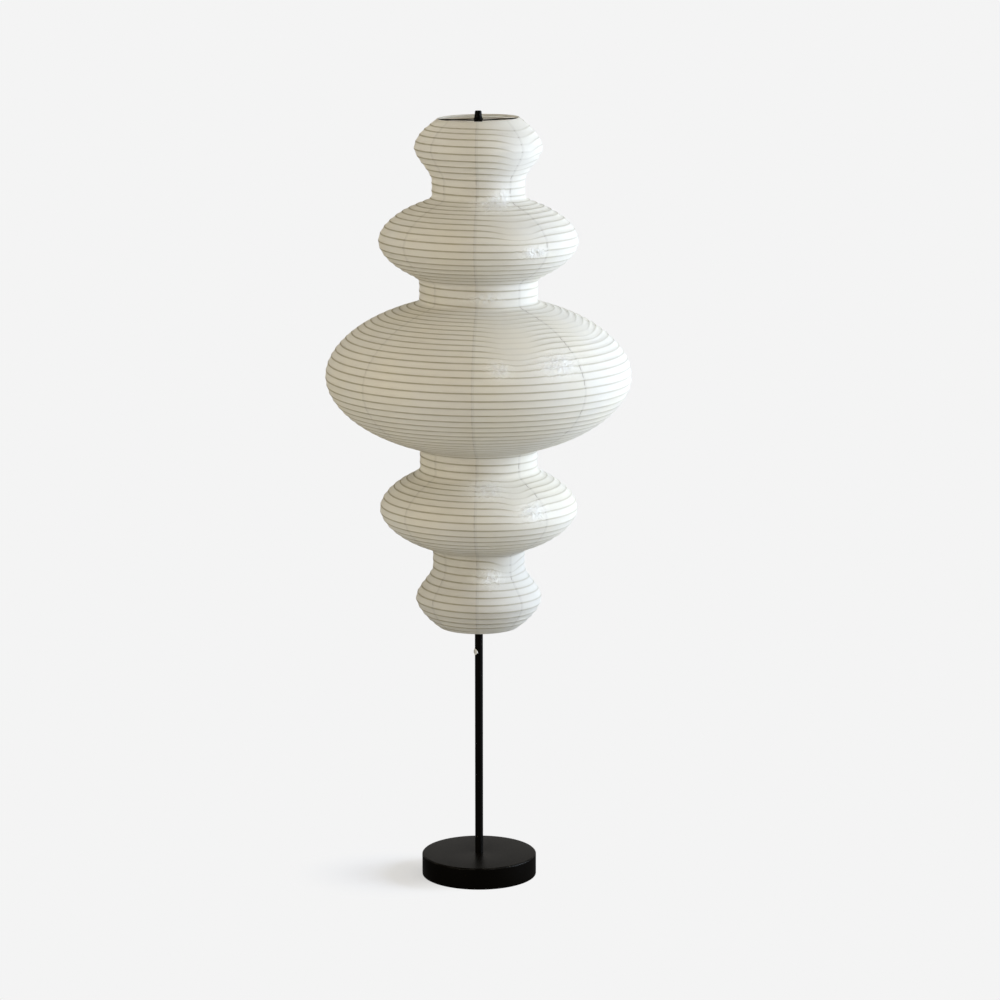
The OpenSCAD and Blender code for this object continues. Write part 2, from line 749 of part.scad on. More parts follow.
// Corners of the wire's cross-section where it stands at a turn
function rib_corner(turn, k) = let (
        s = rib_s(turn),
        a = 360 * k / rib_sides,
        p = under_paper(s, rib_depth) + rib_d / 2 * (cos(a) * paper_out(s) + sin(a) * paper_run(s)))
    about_pole(p, rib_start_turn + turn);

// Least gap between two neighbouring turns, measured at every ring of corners
function rib_least_gap() = let (
        xs = [for (a = rib_marks) [a, rib_centre(a).x]],
        ys = [for (a = rib_marks) [a, rib_centre(a).y]],
        zs = [for (a = rib_marks) [a, rib_centre(a).z]])
    min([for (a = rib_marks) if (a + 360 <= 360 * rib_turns)
        norm(rib_centre(a) - [lookup(a + 360, xs), lookup(a + 360, ys), lookup(a + 360, zs)])]) - rib_d;

// The one unbroken wire that carries the paper from mouth to mouth
module rib_wire() {
    rings = len(rib_marks);
    echo(turns = rib_turns, rings = rings, triangles = 2 * rib_sides * (rings - 1) + 2 * (rib_sides - 2));
    echo(least_gap_between_turns_mm = rib_least_gap());
    points = [for (a = rib_marks) for (k = [0:rib_sides - 1]) rib_corner(a, k)];
    sides = [for (i = [0:rings - 2]) for (k = [0:rib_sides - 1])
        let (
            a = i * rib_sides + k,
            b = i * rib_sides + (k + 1) % rib_sides,
            c = a + rib_sides,
            d = b + rib_sides)
        each [[a, b, c], [b, d, c]]];
    last = (rings - 1) * rib_sides;
    ends = [for (k = [1:rib_sides - 2]) each [[0, k + 1, k], [last, last + k, last + k + 1]]];
    color([0.5, 0.47, 0.4]) polyhedron(points, concat(sides, ends), convexity = 10);
}

// One gore of glued paper, from seam to seam, ridged where the wire carries it
module paper_gore(g) {
    color([0.93, 0.91, 0.85])
        translate([0, 0, lantern_z])
            rotate_extrude(angle = gore_turn - seam_gap, start = seam_turn + gore_turn * g, $fn = round_fn)
                polygon(gore_outline(g));
}

base_cover();
base_weight();
base_plate();
base_plate_screws();
base_feet();
foot_bolt();
foot_washer();
foot_plug();
pole_section(0);  // pole_lower
pole_section(1);  // pole_middle
pole_section(2);  // pole_upper
coupler(1);  // coupler_lower
coupler(2);  // coupler_upper
top_stud();
cord_grommet();
lead_splice();
inner_leads();
arm_nuts();
holder_arm(0);  // holder_arm_upper
holder_arm(1);  // holder_arm_middle
holder_arm(2);  // holder_arm_lower
holder_cup(0);  // holder_cup_upper
holder_cup(1);  // holder_cup_middle
holder_cup(2);  // holder_cup_lower
lampholder(0);  // lampholder_upper
lampholder(1);  // lampholder_middle
lampholder(2);  // lampholder_lower
thread_sleeve(0);  // thread_sleeve_upper
thread_sleeve(1);  // thread_sleeve_middle
thread_sleeve(2);  // thread_sleeve_lower
contact(0);  // contact_upper
contact(1);  // contact_middle
contact(2);  // contact_lower
bulb_cap(0);  // bulb_cap_upper
bulb_cap(1);  // bulb_cap_middle
bulb_cap(2);  // bulb_cap_lower
bulb_glass(0);  // bulb_glass_upper
bulb_glass(1);  // bulb_glass_middle
bulb_glass(2);  // bulb_glass_lower
finial();
top_strap();
top_ring();
bottom_ring();
rib_wire();
paper_gore(0);  // paper_gore_1
paper_gore(1);  // paper_gore_2
paper_gore(2);  // paper_gore_3
paper_gore(3);  // paper_gore_4
paper_gore(4);  // paper_gore_5
paper_gore(5);  // paper_gore_6
paper_gore(6);  // paper_gore_7
paper_gore(7);  // paper_gore_8
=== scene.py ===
import json
import math

import bpy
from bpy.props import FloatProperty, FloatVectorProperty, IntProperty, PointerProperty
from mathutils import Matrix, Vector


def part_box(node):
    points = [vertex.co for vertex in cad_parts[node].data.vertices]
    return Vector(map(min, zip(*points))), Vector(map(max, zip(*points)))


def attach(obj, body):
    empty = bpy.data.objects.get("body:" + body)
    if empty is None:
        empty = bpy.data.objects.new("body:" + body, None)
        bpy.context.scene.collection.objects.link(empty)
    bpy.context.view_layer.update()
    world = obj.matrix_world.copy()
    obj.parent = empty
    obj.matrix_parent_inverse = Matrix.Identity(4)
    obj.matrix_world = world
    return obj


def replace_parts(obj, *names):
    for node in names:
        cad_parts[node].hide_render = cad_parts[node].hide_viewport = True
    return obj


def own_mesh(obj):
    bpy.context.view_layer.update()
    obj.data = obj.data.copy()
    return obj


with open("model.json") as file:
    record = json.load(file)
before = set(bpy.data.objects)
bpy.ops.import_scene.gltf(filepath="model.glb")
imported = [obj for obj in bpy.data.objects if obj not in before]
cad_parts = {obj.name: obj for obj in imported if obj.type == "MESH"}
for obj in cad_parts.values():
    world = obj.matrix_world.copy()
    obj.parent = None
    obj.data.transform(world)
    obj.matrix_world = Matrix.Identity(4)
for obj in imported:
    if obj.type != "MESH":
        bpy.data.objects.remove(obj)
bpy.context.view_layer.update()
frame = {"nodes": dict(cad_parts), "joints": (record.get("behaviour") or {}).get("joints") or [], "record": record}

bl_info = {
    "name": "Paper lantern floor lamp",
    "version": (1, 0, 0),
    "blender": (4, 5, 0),
    "location": "3D View > Sidebar > Paper lantern",
    "description": "Dresses the lamp's frame: ribbed paper, rib wire, base, bulbs, finishes and a plain stage",
    "category": "Object",
}

LANTERN = "lantern"
GORES = 8
EDGE_ROWS, HEM_ROWS = 8, 14             # faces along a plain edge of the paper and along a hem
WIRE_STEPS, WIRE_SIDES = 64, 6          # points in one turn of the rib wire, and sides of its section
DROOP_START = 0.012                     # the droop is whole up to this length from the upper mouth
PAPER_CREASE, BAR_CREASE = math.radians(55), math.radians(40)   # edges sharper than this stay sharp
ON_AXIS = 1e-7                          # a point nearer to the axis than this lies on it
MM = 1000.0
GLASS_MIDDLE = 0.052                    # from the foot of a bulb's glass to its middle
THREAD_FADE = 0.0016                    # length over which a rolled thread runs out
FLOOR_HALF = 150.0
MIDDLE_OF_LAMP = Vector((0.0, 0.0, 1.0))


# ---- Sums written as Python, for shader trees and geometry trees alike ----

class Value:
    """A socket that takes part in Python sums. Each sum adds its Math node."""

    def __init__(self, tree, socket):
        self.tree = tree
        self.socket = socket

    def sum(self, operation, *others):
        return self.tree.math(operation, self, *others)

    def __add__(self, other):
        return self.sum("ADD", other)

    __radd__ = __add__

    def __sub__(self, other):
        return self.sum("SUBTRACT", other)

    def __rsub__(self, other):
        return self.tree.math("SUBTRACT", other, self)

    def __mul__(self, other):
        return self.sum("MULTIPLY", other)

    __rmul__ = __mul__

    def __truediv__(self, other):
        return self.sum("DIVIDE", other)

    def __pow__(self, other):
        return self.sum("POWER", other)

    def __neg__(self):
        return self * -1.0

    def __abs__(self):
        return self.sum("ABSOLUTE")

    def fract(self):
        return self.sum("FRACT")

    def floor(self):
        return self.sum("FLOOR")

    def sin(self):
        return self.sum("SINE")

    def cos(self):
        return self.sum("COSINE")

    def at_least(self, other):
        return self.sum("MAXIMUM", other)

    def at_most(self, other):
        return self.sum("MINIMUM", other)

    def share(self):
        """Held between 0 and 1."""
        return self.at_least(0.0).at_most(1.0)

    def rise(self, start, end):
        """0 up to start, 1 from end, and smooth between them."""
        t = ((self - start) / (end - start)).share()
        return t * t * (3.0 - 2.0 * t)


class Tree:
    """A node tree and the two ways in which nodes are added to it: math() and node()."""

    def __init__(self, tree):
        self.tree = tree

    def feed(self, socket, value):
        if isinstance(value, Value):
            self.tree.links.new(value.socket, socket)
        else:
            socket.default_value = value

    def math(self, operation, *values):
        made = self.tree.nodes.new("ShaderNodeMath")
        made.operation = operation
        for socket, value in zip(made.inputs, values):
            self.feed(socket, value)
        return Value(self, made.outputs[0])

    def node(self, kind, settings=None, inputs=None, stops=None):
        """One node: its settings, then a ramp's stops, then its sockets. Returns its outputs by name or number."""
        made = self.tree.nodes.new(kind)
        for name, value in (settings or {}).items():
            setattr(made, name, value)
        if stops:
            ramp = made.color_ramp.elements
            while len(ramp) < len(stops):
                ramp.new(1.0)
            for element, (place, colour) in zip(ramp, stops):
                element.position = place
                element.color = (*colour, 1.0)
        for name, value in (inputs or {}).items():
            self.feed(made.inputs[name], value)
        return Outputs(self, made)

    def mix(self, share, a, b):
        """Colour a where share is 0 and b where it is 1."""
        colours = {6: a if isinstance(a, Value) else (*a, 1.0), 7: b if isinstance(b, Value) else (*b, 1.0)}
        return self.node("ShaderNodeMix", {"data_type": "RGBA"}, {0: share, **colours})[2]

    def tinted(self, colour, level):
        """A colour made darker or lighter by a number."""
        grey = self.node("ShaderNodeCombineXYZ", None, {"X": level, "Y": level, "Z": level})[0]
        return self.node("ShaderNodeVectorMath", {"operation": "MULTIPLY"}, {0: colour, 1: grey})[0]

    def vector(self, x, y, z):
        return self.node("ShaderNodeCombineXYZ", None, {"X": x, "Y": y, "Z": z})[0]

    def split(self, vector):
        parts = self.node("ShaderNodeSeparateXYZ", None, {"Vector": vector})
        return parts[0], parts[1], parts[2]

    def either(self, share, a, b):
        """Surface a where share is 0 and b where it is 1."""
        return self.node("ShaderNodeMixShader", None, {0: share, 1: a, 2: b})[0]

    def noise(self, vector, scale, detail=2.0, roughness=0.5, distortion=0.0):
        return self.node("ShaderNodeTexNoise", None, {
            "Vector": vector, "Scale": scale, "Detail": detail,
            "Roughness": roughness, "Distortion": distortion})[0]


class Outputs:
    """The outputs of a node, as values."""

    def __init__(self, tree, made):
        self.tree = tree
        self.made = made

    def __getitem__(self, key):
        return Value(self.tree, self.made.outputs[key])


# ---- Sizes and looks that a user may change ----

class LanternSizes(bpy.types.PropertyGroup):
    half_height: FloatProperty(
        name="Half height", description="Middle of the paper to the edge of a mouth",
        default=0.5025, unit="LENGTH")
    middle_radius: FloatProperty(
        name="Middle tier radius", description="Radius of the middle tier", default=0.300, unit="LENGTH")
    second_radius: FloatProperty(
        name="Second tier radius", description="Radius of the tiers beside the middle one",
        default=0.195, unit="LENGTH")
    end_radius: FloatProperty(
        name="End tier radius", description="Radius of the end tiers", default=0.125, unit="LENGTH")
    middle_share: FloatProperty(
        name="Middle tier height", description="Half height of the middle tier, as a share of the lantern's",
        default=0.3124)
    second_share: FloatProperty(
        name="Second tier height", description="Half height of the second tiers, as a share of the lantern's",
        default=0.1871)
    end_share: FloatProperty(
        name="End tier height", description="Half height of the end tiers, as a share of the lantern's",
        default=0.1771)
    second_place: FloatProperty(
        name="Second tier place", description="Middle of a second tier, as a share of the lantern's half height",
        default=0.5254)
    end_place: FloatProperty(
        name="End tier place", description="Middle of an end tier, as a share of the lantern's half height",
        default=0.8856)
    bows: FloatVectorProperty(
        name="Fullness", description="Fullness of the middle, second and end tiers, 2 being an ellipse",
        default=(1.92, 1.85, 1.57), size=3)
    inner_neck: FloatProperty(
        name="Inner neck radius", description="Radius of the necks beside the middle tier",
        default=0.116, unit="LENGTH")
    outer_neck: FloatProperty(
        name="Outer neck radius", description="Radius of the necks beside the end tiers",
        default=0.091, unit="LENGTH")
    neck_blend: FloatProperty(
        name="Neck blend", description="Width over which a tier runs into a neck", default=0.023, unit="LENGTH")
    seam_turn: FloatProperty(
        name="First seam", description="Turn of the first seam about the pole", default=math.radians(-2.2),
        subtype="ANGLE")
    rib_pitch: FloatProperty(
        name="Rib pitch", description="Distance between two turns of the rib wire along the paper",
        default=0.0151, unit="LENGTH")
    rib_radius: FloatProperty(
        name="Rib wire radius", description="Radius of the rib wire", default=0.0008, unit="LENGTH")
    rib_end: FloatProperty(
        name="Rib wire end", description="Distance from a mouth's edge to the end of the rib wire",
        default=0.009, unit="LENGTH")
    paper: FloatProperty(
        name="Paper thickness", description="Thickness of the glued paper", default=0.0006, unit="LENGTH")
    sag: FloatProperty(
        name="Sag", description="Depth by which the paper is drawn in between two turns of the wire",
        default=0.0010, unit="LENGTH")
    under: FloatProperty(
        name="Wire gap", description="Gap between the paper and the rib wire or the mouth's wire",
        default=0.0003, unit="LENGTH")
    mouth_wire: FloatProperty(
        name="Mouth wire radius", description="Radius of the wire of a mouth ring", default=0.0015,
        unit="LENGTH")
    droop: FloatProperty(
        name="Droop", description="How far the upper mouth has sunk at its sides; in front it is twice as much",
        default=0.0019, unit="LENGTH")
    lean: FloatProperty(
        name="Lean", description="How much further the upper mouth has sunk on the left, and less on the right",
        default=0.0014, unit="LENGTH")
    droop_reach: FloatProperty(
        name="Droop reach", description="Distance along the paper at which nothing is left of the droop",
        default=0.048, unit="LENGTH")
    columns: IntProperty(
        name="Columns", description="Faces across one gore", default=44, min=8)
    rows: IntProperty(
        name="Rows", description="Faces between two turns of the wire", default=8, min=4)
    crinkle: FloatProperty(
        name="Crinkle", description="Depth of the creases in a crumpled patch", default=0.0014, unit="LENGTH")
    seed: IntProperty(
        name="Seed", description="Picks one arrangement of the paper's small faults", default=7)


class LampFinishes(bpy.types.PropertyGroup):
    paper: FloatVectorProperty(
        name="Paper", description="Colour of the paper", default=(0.90, 0.888, 0.85), size=3, subtype="COLOR",
        min=0.0, max=1.0)
    rib_line: FloatVectorProperty(
        name="Rib line", description="Colour of the paper where the wire shows through",
        default=(0.43, 0.38, 0.23), size=3, subtype="COLOR", min=0.0, max=1.0)
    black: FloatVectorProperty(
        name="Black", description="Colour of the powder coat", default=(0.0022, 0.0017, 0.0011), size=3,
        subtype="COLOR", min=0.0, max=1.0)
    see_through: FloatProperty(
        name="See-through", description="Share of the light that passes the paper's face", default=0.55,
        min=0.0, max=1.0, subtype="FACTOR")


class LampStage(bpy.types.PropertyGroup):
    camera_place: FloatVectorProperty(
        name="Camera", description="Place of the camera", default=(0.042, -6.2, 1.9584), size=3, unit="LENGTH")
    camera_pitch: FloatProperty(
        name="Pitch", description="How far the camera looks down", default=math.radians(10.88), subtype="ANGLE")
    camera_lens: FloatProperty(name="Lens", description="Focal length in millimetres", default=115.2)
    key_power: FloatProperty(name="Key", description="Power of the window light on the right", default=268.0)
    fill_power: FloatProperty(name="Fill", description="Power of the warm light in front on the left", default=57.0)
    room_level: FloatProperty(name="Room", description="Level of the light from all round", default=0.55)
    room_colour: FloatVectorProperty(
        name="Room colour", description="Colour of the light from all round", default=(1.0, 0.92, 0.78), size=3,
        subtype="COLOR", min=0.0, max=1.0)
    backdrop: FloatProperty(
        name="Backdrop", description="Grey of the floor and backdrop as the camera sees them", default=0.9047,
        min=0.0, max=1.0)


# ---- The lantern's outline ----

def lantern_middle():
    """Height of the middle of the paper, from the frame."""
    low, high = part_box("paper_gore_1")
    return (low.z + high.z) / 2


def tier(height, radius, half, bow):
    """Radius of one tier at a height from its widest level."""
    if abs(height) >= half:
        return 0.0
    return radius * (1 - (abs(height) / half) ** bow) ** (1 / bow)


def paper_radius(sizes, z):
    """Radius of the paper at a height from the lantern's middle."""
    def run_together(a, b):
        width = sizes.neck_blend
        return max(a, b) + max(width - abs(a - b), 0) ** 2 / (4 * width)
    s, half = abs(z), sizes.half_height
    second, end = sizes.second_place * half, sizes.end_place * half
    r = run_together(
        run_together(
            tier(s, sizes.middle_radius, sizes.middle_share * half, sizes.bows[0]),
            tier(s - second, sizes.second_radius, sizes.second_share * half, sizes.bows[1])),
        tier(s - end, sizes.end_radius, sizes.end_share * half, sizes.bows[2]))
    if s < second:
        return run_together(r, sizes.inner_neck)
    if s < end:
        return run_together(r, sizes.outer_neck)
    return r


def mouth_drop(sizes, angle):
    """How far the upper mouth has sunk at an angle about the pole."""
    return sizes.droop * (1 - math.sin(angle)) - sizes.lean * math.cos(angle)


class Outline:
    """The paper's outer line from the inner end of the upper hem to that of the lower one."""

    STEPS = 2000
    HEM_STEPS = 18
    HEM_END = math.radians(235)

    def __init__(self, sizes):
        half, middle = sizes.half_height, lantern_middle()
        walk = [(paper_radius(sizes, z), z) for z in
                (half * (1 - 2 * i / self.STEPS) for i in range(self.STEPS + 1))]
        (r0, z0), (r1, z1) = walk[0], walk[4]
        long = math.hypot(r1 - r0, z1 - z0)
        out = (-(z1 - z0) / long, (r1 - r0) / long)
        round_wire = sizes.paper + sizes.under + sizes.mouth_wire
        ring = (r0 - round_wire * out[0], z0 - round_wire * out[1])
        begin = math.atan2(out[1], out[0])
        hem = [(ring[0] + round_wire * math.cos(a), ring[1] + round_wire * math.sin(a)) for a in
               (self.HEM_END + (begin - self.HEM_END) * i / self.HEM_STEPS for i in range(self.HEM_STEPS))]
        line = hem + walk + [(r, -z) for r, z in reversed(hem)]
        self.points = [(r, 0.0, z + middle) for r, z in line]
        self.hem_length = self.length(hem + walk[:1])
        self.paper_length = self.length(walk)
        self.turns = (self.paper_length - 2 * sizes.rib_end) / sizes.rib_pitch
        self.ring_radius, self.ring_height = ring

    @staticmethod
    def length(points):
        return sum(math.dist(a, b) for a, b in zip(points, points[1:]))

    def mesh(self):
        made = bpy.data.meshes.new("outline")
        made.from_pydata(self.points, [(i, i + 1) for i in range(len(self.points) - 1)], [])
        return made


# ---- Geometry trees ----

KINDS = {"float": "NodeSocketFloat", "int": "NodeSocketInt", "material": "NodeSocketMaterial",
         "geometry": "NodeSocketGeometry"}


def geometry_tree(name, wanted):
    """A tree with an outline coming in and the named inputs. Returns it, its inputs as values and its end node."""
    made = bpy.data.node_groups.new(name, "GeometryNodeTree")
    made.interface.new_socket("Geometry", in_out="INPUT", socket_type=KINDS["geometry"])
    for label, kind in wanted:
        made.interface.new_socket(label, in_out="INPUT", socket_type=KINDS[kind])
    made.interface.new_socket("Geometry", in_out="OUTPUT", socket_type=KINDS["geometry"])
    tree = Tree(made)
    start = made.nodes.new("NodeGroupInput")
    given = {s.name: Value(tree, s) for s in start.outputs if s.name}
    return tree, given, made.nodes.new("NodeGroupOutput")


def finish_tree(tree, geometry, given, end):
    """The tree's end: smooth faces, real meshes for any instances, and the material."""
    smooth = tree.node("GeometryNodeSetShadeSmooth", None, {"Geometry": geometry})[0]
    real = tree.node("GeometryNodeRealizeInstances", None, {"Geometry": smooth})[0]
    painted = tree.node("GeometryNodeSetMaterial", None, {"Geometry": real, "Material": given["Material"]})[0]
    tree.feed(end.inputs[0], painted)
    return tree.tree


def stored(tree, geometry, name, value, kind="FLOAT", domain="POINT"):
    """The geometry with a value kept on it under a name, for the finish to read."""
    return tree.node("GeometryNodeStoreNamedAttribute", {"data_type": kind, "domain": domain}, {
        "Geometry": geometry, "Name": name, "Value": value})[0]


def grown(name, source, tree, values, body, thickness=0.0):
    """Runs a tree on a source mesh, makes the result a plain mesh, and puts it on its body."""
    maker = bpy.data.objects.new(name + "_maker", source)
    bpy.context.scene.collection.objects.link(maker)
    modifier = maker.modifiers.new("Shape", "NODES")
    modifier.node_group = tree
    for item in tree.interface.items_tree:
        if item.in_out == "INPUT" and item.name in values:
            modifier[item.identifier] = values[item.name]
    if thickness:
        wall = maker.modifiers.new("Thickness", "SOLIDIFY")
        wall.thickness = thickness
        wall.offset = -1.0
        wall.use_even_offset = False
    done = bpy.data.meshes.new_from_object(maker.evaluated_get(bpy.context.evaluated_depsgraph_get()))
    done.set_sharp_from_angle(angle=PAPER_CREASE)
    bpy.data.objects.remove(maker)
    return placed(name, done, body)


def placed(name, mesh, body):
    """A finished mesh as a piece that rides on a body and takes its finish from a slot."""
    mesh.name = name
    piece = bpy.data.objects.new(name, mesh)
    bpy.context.scene.collection.objects.link(piece)
    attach(piece, body)
    return piece


def outline_point(tree, outline, length, depth):
    """The point at a length along the outline and a depth under it, as radius and height."""
    found = tree.node(
        "GeometryNodeSampleCurve", {"mode": "LENGTH", "use_all_curves": True},
        {"Curves": outline, "Length": length})
    r, _, z = tree.split(found["Position"])
    run, _, fall = tree.split(found["Tangent"])
    return r + depth * fall, z - depth * run


def round_pole(tree, r, z, turn):
    return tree.vector(r * turn.cos(), r * turn.sin(), z)


DROOP = [("Droop", "float"), ("Lean", "float"), ("Droop Reach", "float")]


def drooped(given, z, along, angle):
    """The height of a point of the paper, a little lower near the upper mouth."""
    share = 1.0 - along.rise(DROOP_START, given["Droop Reach"])
    return z - share * (given["Droop"] * (1.0 - angle.sin()) - given["Lean"] * angle.cos())


def rib_wire_tree():
    """One unbroken winding under the paper, a steady distance from turn to turn."""
    tree, given, end = geometry_tree("Rib wire", [
        ("Turns", "float"), ("Steps per Turn", "int"), ("Pitch", "float"), ("Start", "float"),
        ("Depth", "float"), ("Wire Radius", "float"), ("Seam Turn", "float"), ("Sides", "int"),
        ("Hem Length", "float"), *DROOP, ("Material", "material")])
    outline = tree.node("GeometryNodeMeshToCurve", None, {"Mesh": given["Geometry"]})[0]
    count = (given["Turns"] * given["Steps per Turn"]).sum("CEIL") + 1.0
    line = tree.node("GeometryNodeMeshLine", {"mode": "OFFSET"}, {"Count": count})[0]
    index = tree.node("GeometryNodeInputIndex")[0]
    turn = (index / given["Steps per Turn"]).at_most(given["Turns"])
    along = given["Start"] + given["Pitch"] * turn
    angle = given["Seam Turn"] + turn * math.tau
    r, z = outline_point(tree, outline, given["Hem Length"] + along, given["Depth"])
    place = round_pole(tree, r, drooped(given, z, along, angle), angle)
    wound = tree.node("GeometryNodeSetPosition", None, {"Geometry": line, "Position": place})[0]
    path = tree.node("GeometryNodeMeshToCurve", None, {"Mesh": wound})[0]
    ring = tree.node("GeometryNodeCurvePrimitiveCircle", {"mode": "RADIUS"}, {
        "Resolution": given["Sides"], "Radius": given["Wire Radius"]})[0]
    wire = tree.node("GeometryNodeCurveToMesh", None, {
        "Curve": path, "Profile Curve": ring, "Fill Caps": True})[0]
    return finish_tree(tree, wire, given, end)


# Marked places of the paper: turn in degrees from the front towards the right, height, width and tallness
CRUMPLED = [
    (12.0, 1.360, 0.030, 0.012), (30.0, 1.372, 0.016, 0.016), (33.0, 1.275, 0.030, 0.012),
    (8.0, 1.068, 0.022, 0.016), (33.0, 1.070, 0.045, 0.020), (5.0, 1.180, 0.034, 0.008),
    (6.0, 0.812, 0.034, 0.013), (34.0, 0.775, 0.034, 0.018), (14.0, 0.628, 0.027, 0.017),
    (155.0, 1.345, 0.030, 0.012), (228.0, 1.120, 0.050, 0.018), (118.0, 0.812, 0.032, 0.014),
    (196.0, 0.620, 0.028, 0.014),
]
# places where the paper is drawn smooth; the finish also paints the wire's line away there: painted highlight
SMOOTHED_AND_WASHED = [
    (17.0, 1.115, 0.050, 0.040), (26.0, 1.320, 0.045, 0.020), (28.0, 0.795, 0.030, 0.030),
    (62.0, 1.130, 0.060, 0.025), (44.0, 1.465, 0.040, 0.050), (40.0, 0.655, 0.030, 0.022),
    (140.0, 0.800, 0.050, 0.025), (205.0, 1.320, 0.050, 0.022), (250.0, 1.110, 0.055, 0.030),
]


def marked_places(places, angle, r, z):
    """How far a point lies in one of the marked places, from 0 to 1."""
    whole = None
    for degrees, height, width, tall in places:
        place = math.radians(270.0 + degrees if degrees < 90 else degrees - 90.0)
        away = (angle - place) * r / width
        up = (z - height) / tall
        patch = (-(away * away + up * up)).sum("EXPONENT")
        whole = patch if whole is None else whole + patch
    return whole


def paper_gore_tree():
    """One gore, from seam to seam: hem, ridges that follow the rib wire, and small faults."""
    tree, given, end = geometry_tree("Paper gore", [
        ("Gore", "int"), ("Gores", "int"), ("Columns", "int"), ("Rows per Rib", "int"),
        ("Edge Rows", "int"), ("Hem Rows", "int"), ("Ribs", "int"), ("Pitch", "float"),
        ("Rib Start", "float"), ("Hem Length", "float"), ("Paper Length", "float"), ("Sag", "float"),
        ("Seam Turn", "float"), ("Crinkle", "float"), ("Seed", "int"), *DROOP, ("Material", "material")])
    outline = tree.node("GeometryNodeMeshToCurve", None, {"Mesh": given["Geometry"]})[0]
    q, edge, hem, ribs = given["Rows per Rib"], given["Edge Rows"], given["Hem Rows"], given["Ribs"]
    rows = 2.0 * hem + 2.0 * edge + ribs * q
    grid = tree.node("GeometryNodeMeshGrid", None, {
        "Size X": 1.0, "Size Y": 1.0, "Vertices X": given["Columns"] + 1.0, "Vertices Y": rows + 1.0})[0]
    x, y, _ = tree.split(tree.node("GeometryNodeInputPosition")[0])
    across = x + 0.5
    row = ((y + 0.5) * rows).sum("ROUND")
    # rows: upper hem, upper edge, the ribbed length, lower edge, lower hem
    upper_hem = (row / hem).share()
    upper_edge = ((row - hem) / edge).share()
    ribbed = ((row - hem - edge) / q).at_least(0.0).at_most(ribs)
    lower_edge = ((row - hem - edge - ribs * q) / edge).share()
    lower_hem = ((row - hem - 2.0 * edge - ribs * q) / hem).share()
    rib = (ribbed + 0.0001).floor()
    even = (ribbed - rib).at_least(0.0)
    between = even - 0.55 / math.tau * (even * math.tau).sin()
    turn = (given["Gore"] + across) / given["Gores"]
    first = given["Rib Start"] + given["Pitch"] * turn
    last = first + given["Pitch"] * ribs
    along = (first * upper_edge + given["Pitch"] * (rib + between)
             + (given["Paper Length"] - last) * lower_edge)
    length = along + given["Hem Length"] * (upper_hem + lower_hem)
    phase = (along - given["Rib Start"]) / given["Pitch"] - turn
    # the paper is drawn in between two turns, a little more here and less there
    dish = (4.0 * between * (1.0 - between)).at_least(0.0)
    edges = 2.0 * (upper_edge * (1.0 - upper_edge) + lower_edge * (1.0 - lower_edge))
    place = tree.vector(turn * 26.0, phase * 0.55, given["Seed"])
    uneven = tree.noise(place, 1.0, 1.0)
    r0, z0 = outline_point(tree, outline, length, 0.0)
    angle = given["Seam Turn"] + turn * math.tau
    spot = tree.vector(angle * r0, length, given["Seed"] + 3.0)
    loose = tree.noise(spot, 9.0, 2.0).rise(0.66, 0.80) * 0.35
    patches = (marked_places(CRUMPLED, angle, r0, z0) * 1.25 + loose).share()
    smooth = (marked_places(SMOOTHED_AND_WASHED, angle, r0, z0) * 1.3).share() * (1.0 - 0.7 * patches)
    sag = given["Sag"] * (dish + edges) * (0.45 + 1.1 * uneven) * (1.0 - 0.85 * smooth)
    # creases stand out from the wire; where the paper has gone smooth, its ridges have slipped downwards
    folds = (abs(tree.noise(spot, 62.0, 1.0, 0.5, 0.8) - 0.5) * 7.0).at_most(1.0)
    creases = patches * given["Crinkle"] * (1.0 - folds)
    inside = upper_edge * (1.0 - lower_edge)
    ripple = 0.00030 * (tree.noise(spot, 24.0, 1.0) - 0.3).share() * inside
    slip = inside * (0.0010 * (tree.noise(spot, 7.0, 1.0) - 0.5) + given["Pitch"] * 0.7 * smooth)
    r, z = outline_point(tree, outline, length + slip, sag + ripple - creases)
    flat = tree.vector(turn, phase, 0.0)
    mapped = stored(tree, grid, "sheet", flat, "FLOAT2", "CORNER")
    marked = stored(tree, mapped, "crumple", patches)
    worn = stored(tree, marked, "smooth", smooth)
    shaped = tree.node("GeometryNodeSetPosition", None, {
        "Geometry": worn, "Position": round_pole(tree, r, drooped(given, z, along, angle), angle)})[0]
    outward = tree.node("GeometryNodeFlipFaces", None, {"Mesh": shaped})[0]
    return finish_tree(tree, outward, given, end)


# ---- Turned pieces ----

def bend(before, corner, after, radius, steps=4):
    """Points that lead round a corner."""
    before, here, after = Vector(before), Vector(corner), Vector(after)
    a = here + (before - here).normalized() * min(radius, (before - here).length * 0.45)
    b = here + (after - here).normalized() * min(radius, (after - here).length * 0.45)
    return [tuple(a * (1 - t) ** 2 + here * 2 * t * (1 - t) + b * t ** 2) for t in
            (k / steps for k in range(steps + 1))]


def softened(outline, radius, steps=4):
    """A closed outline with each corner that stands off the axis rounded off."""
    done = []
    for i, corner in enumerate(outline):
        if abs(corner[0]) < ON_AXIS:
            done.append(tuple(corner))
        else:
            done += bend(outline[i - 1], corner, outline[(i + 1) % len(outline)], radius, steps)
    return done


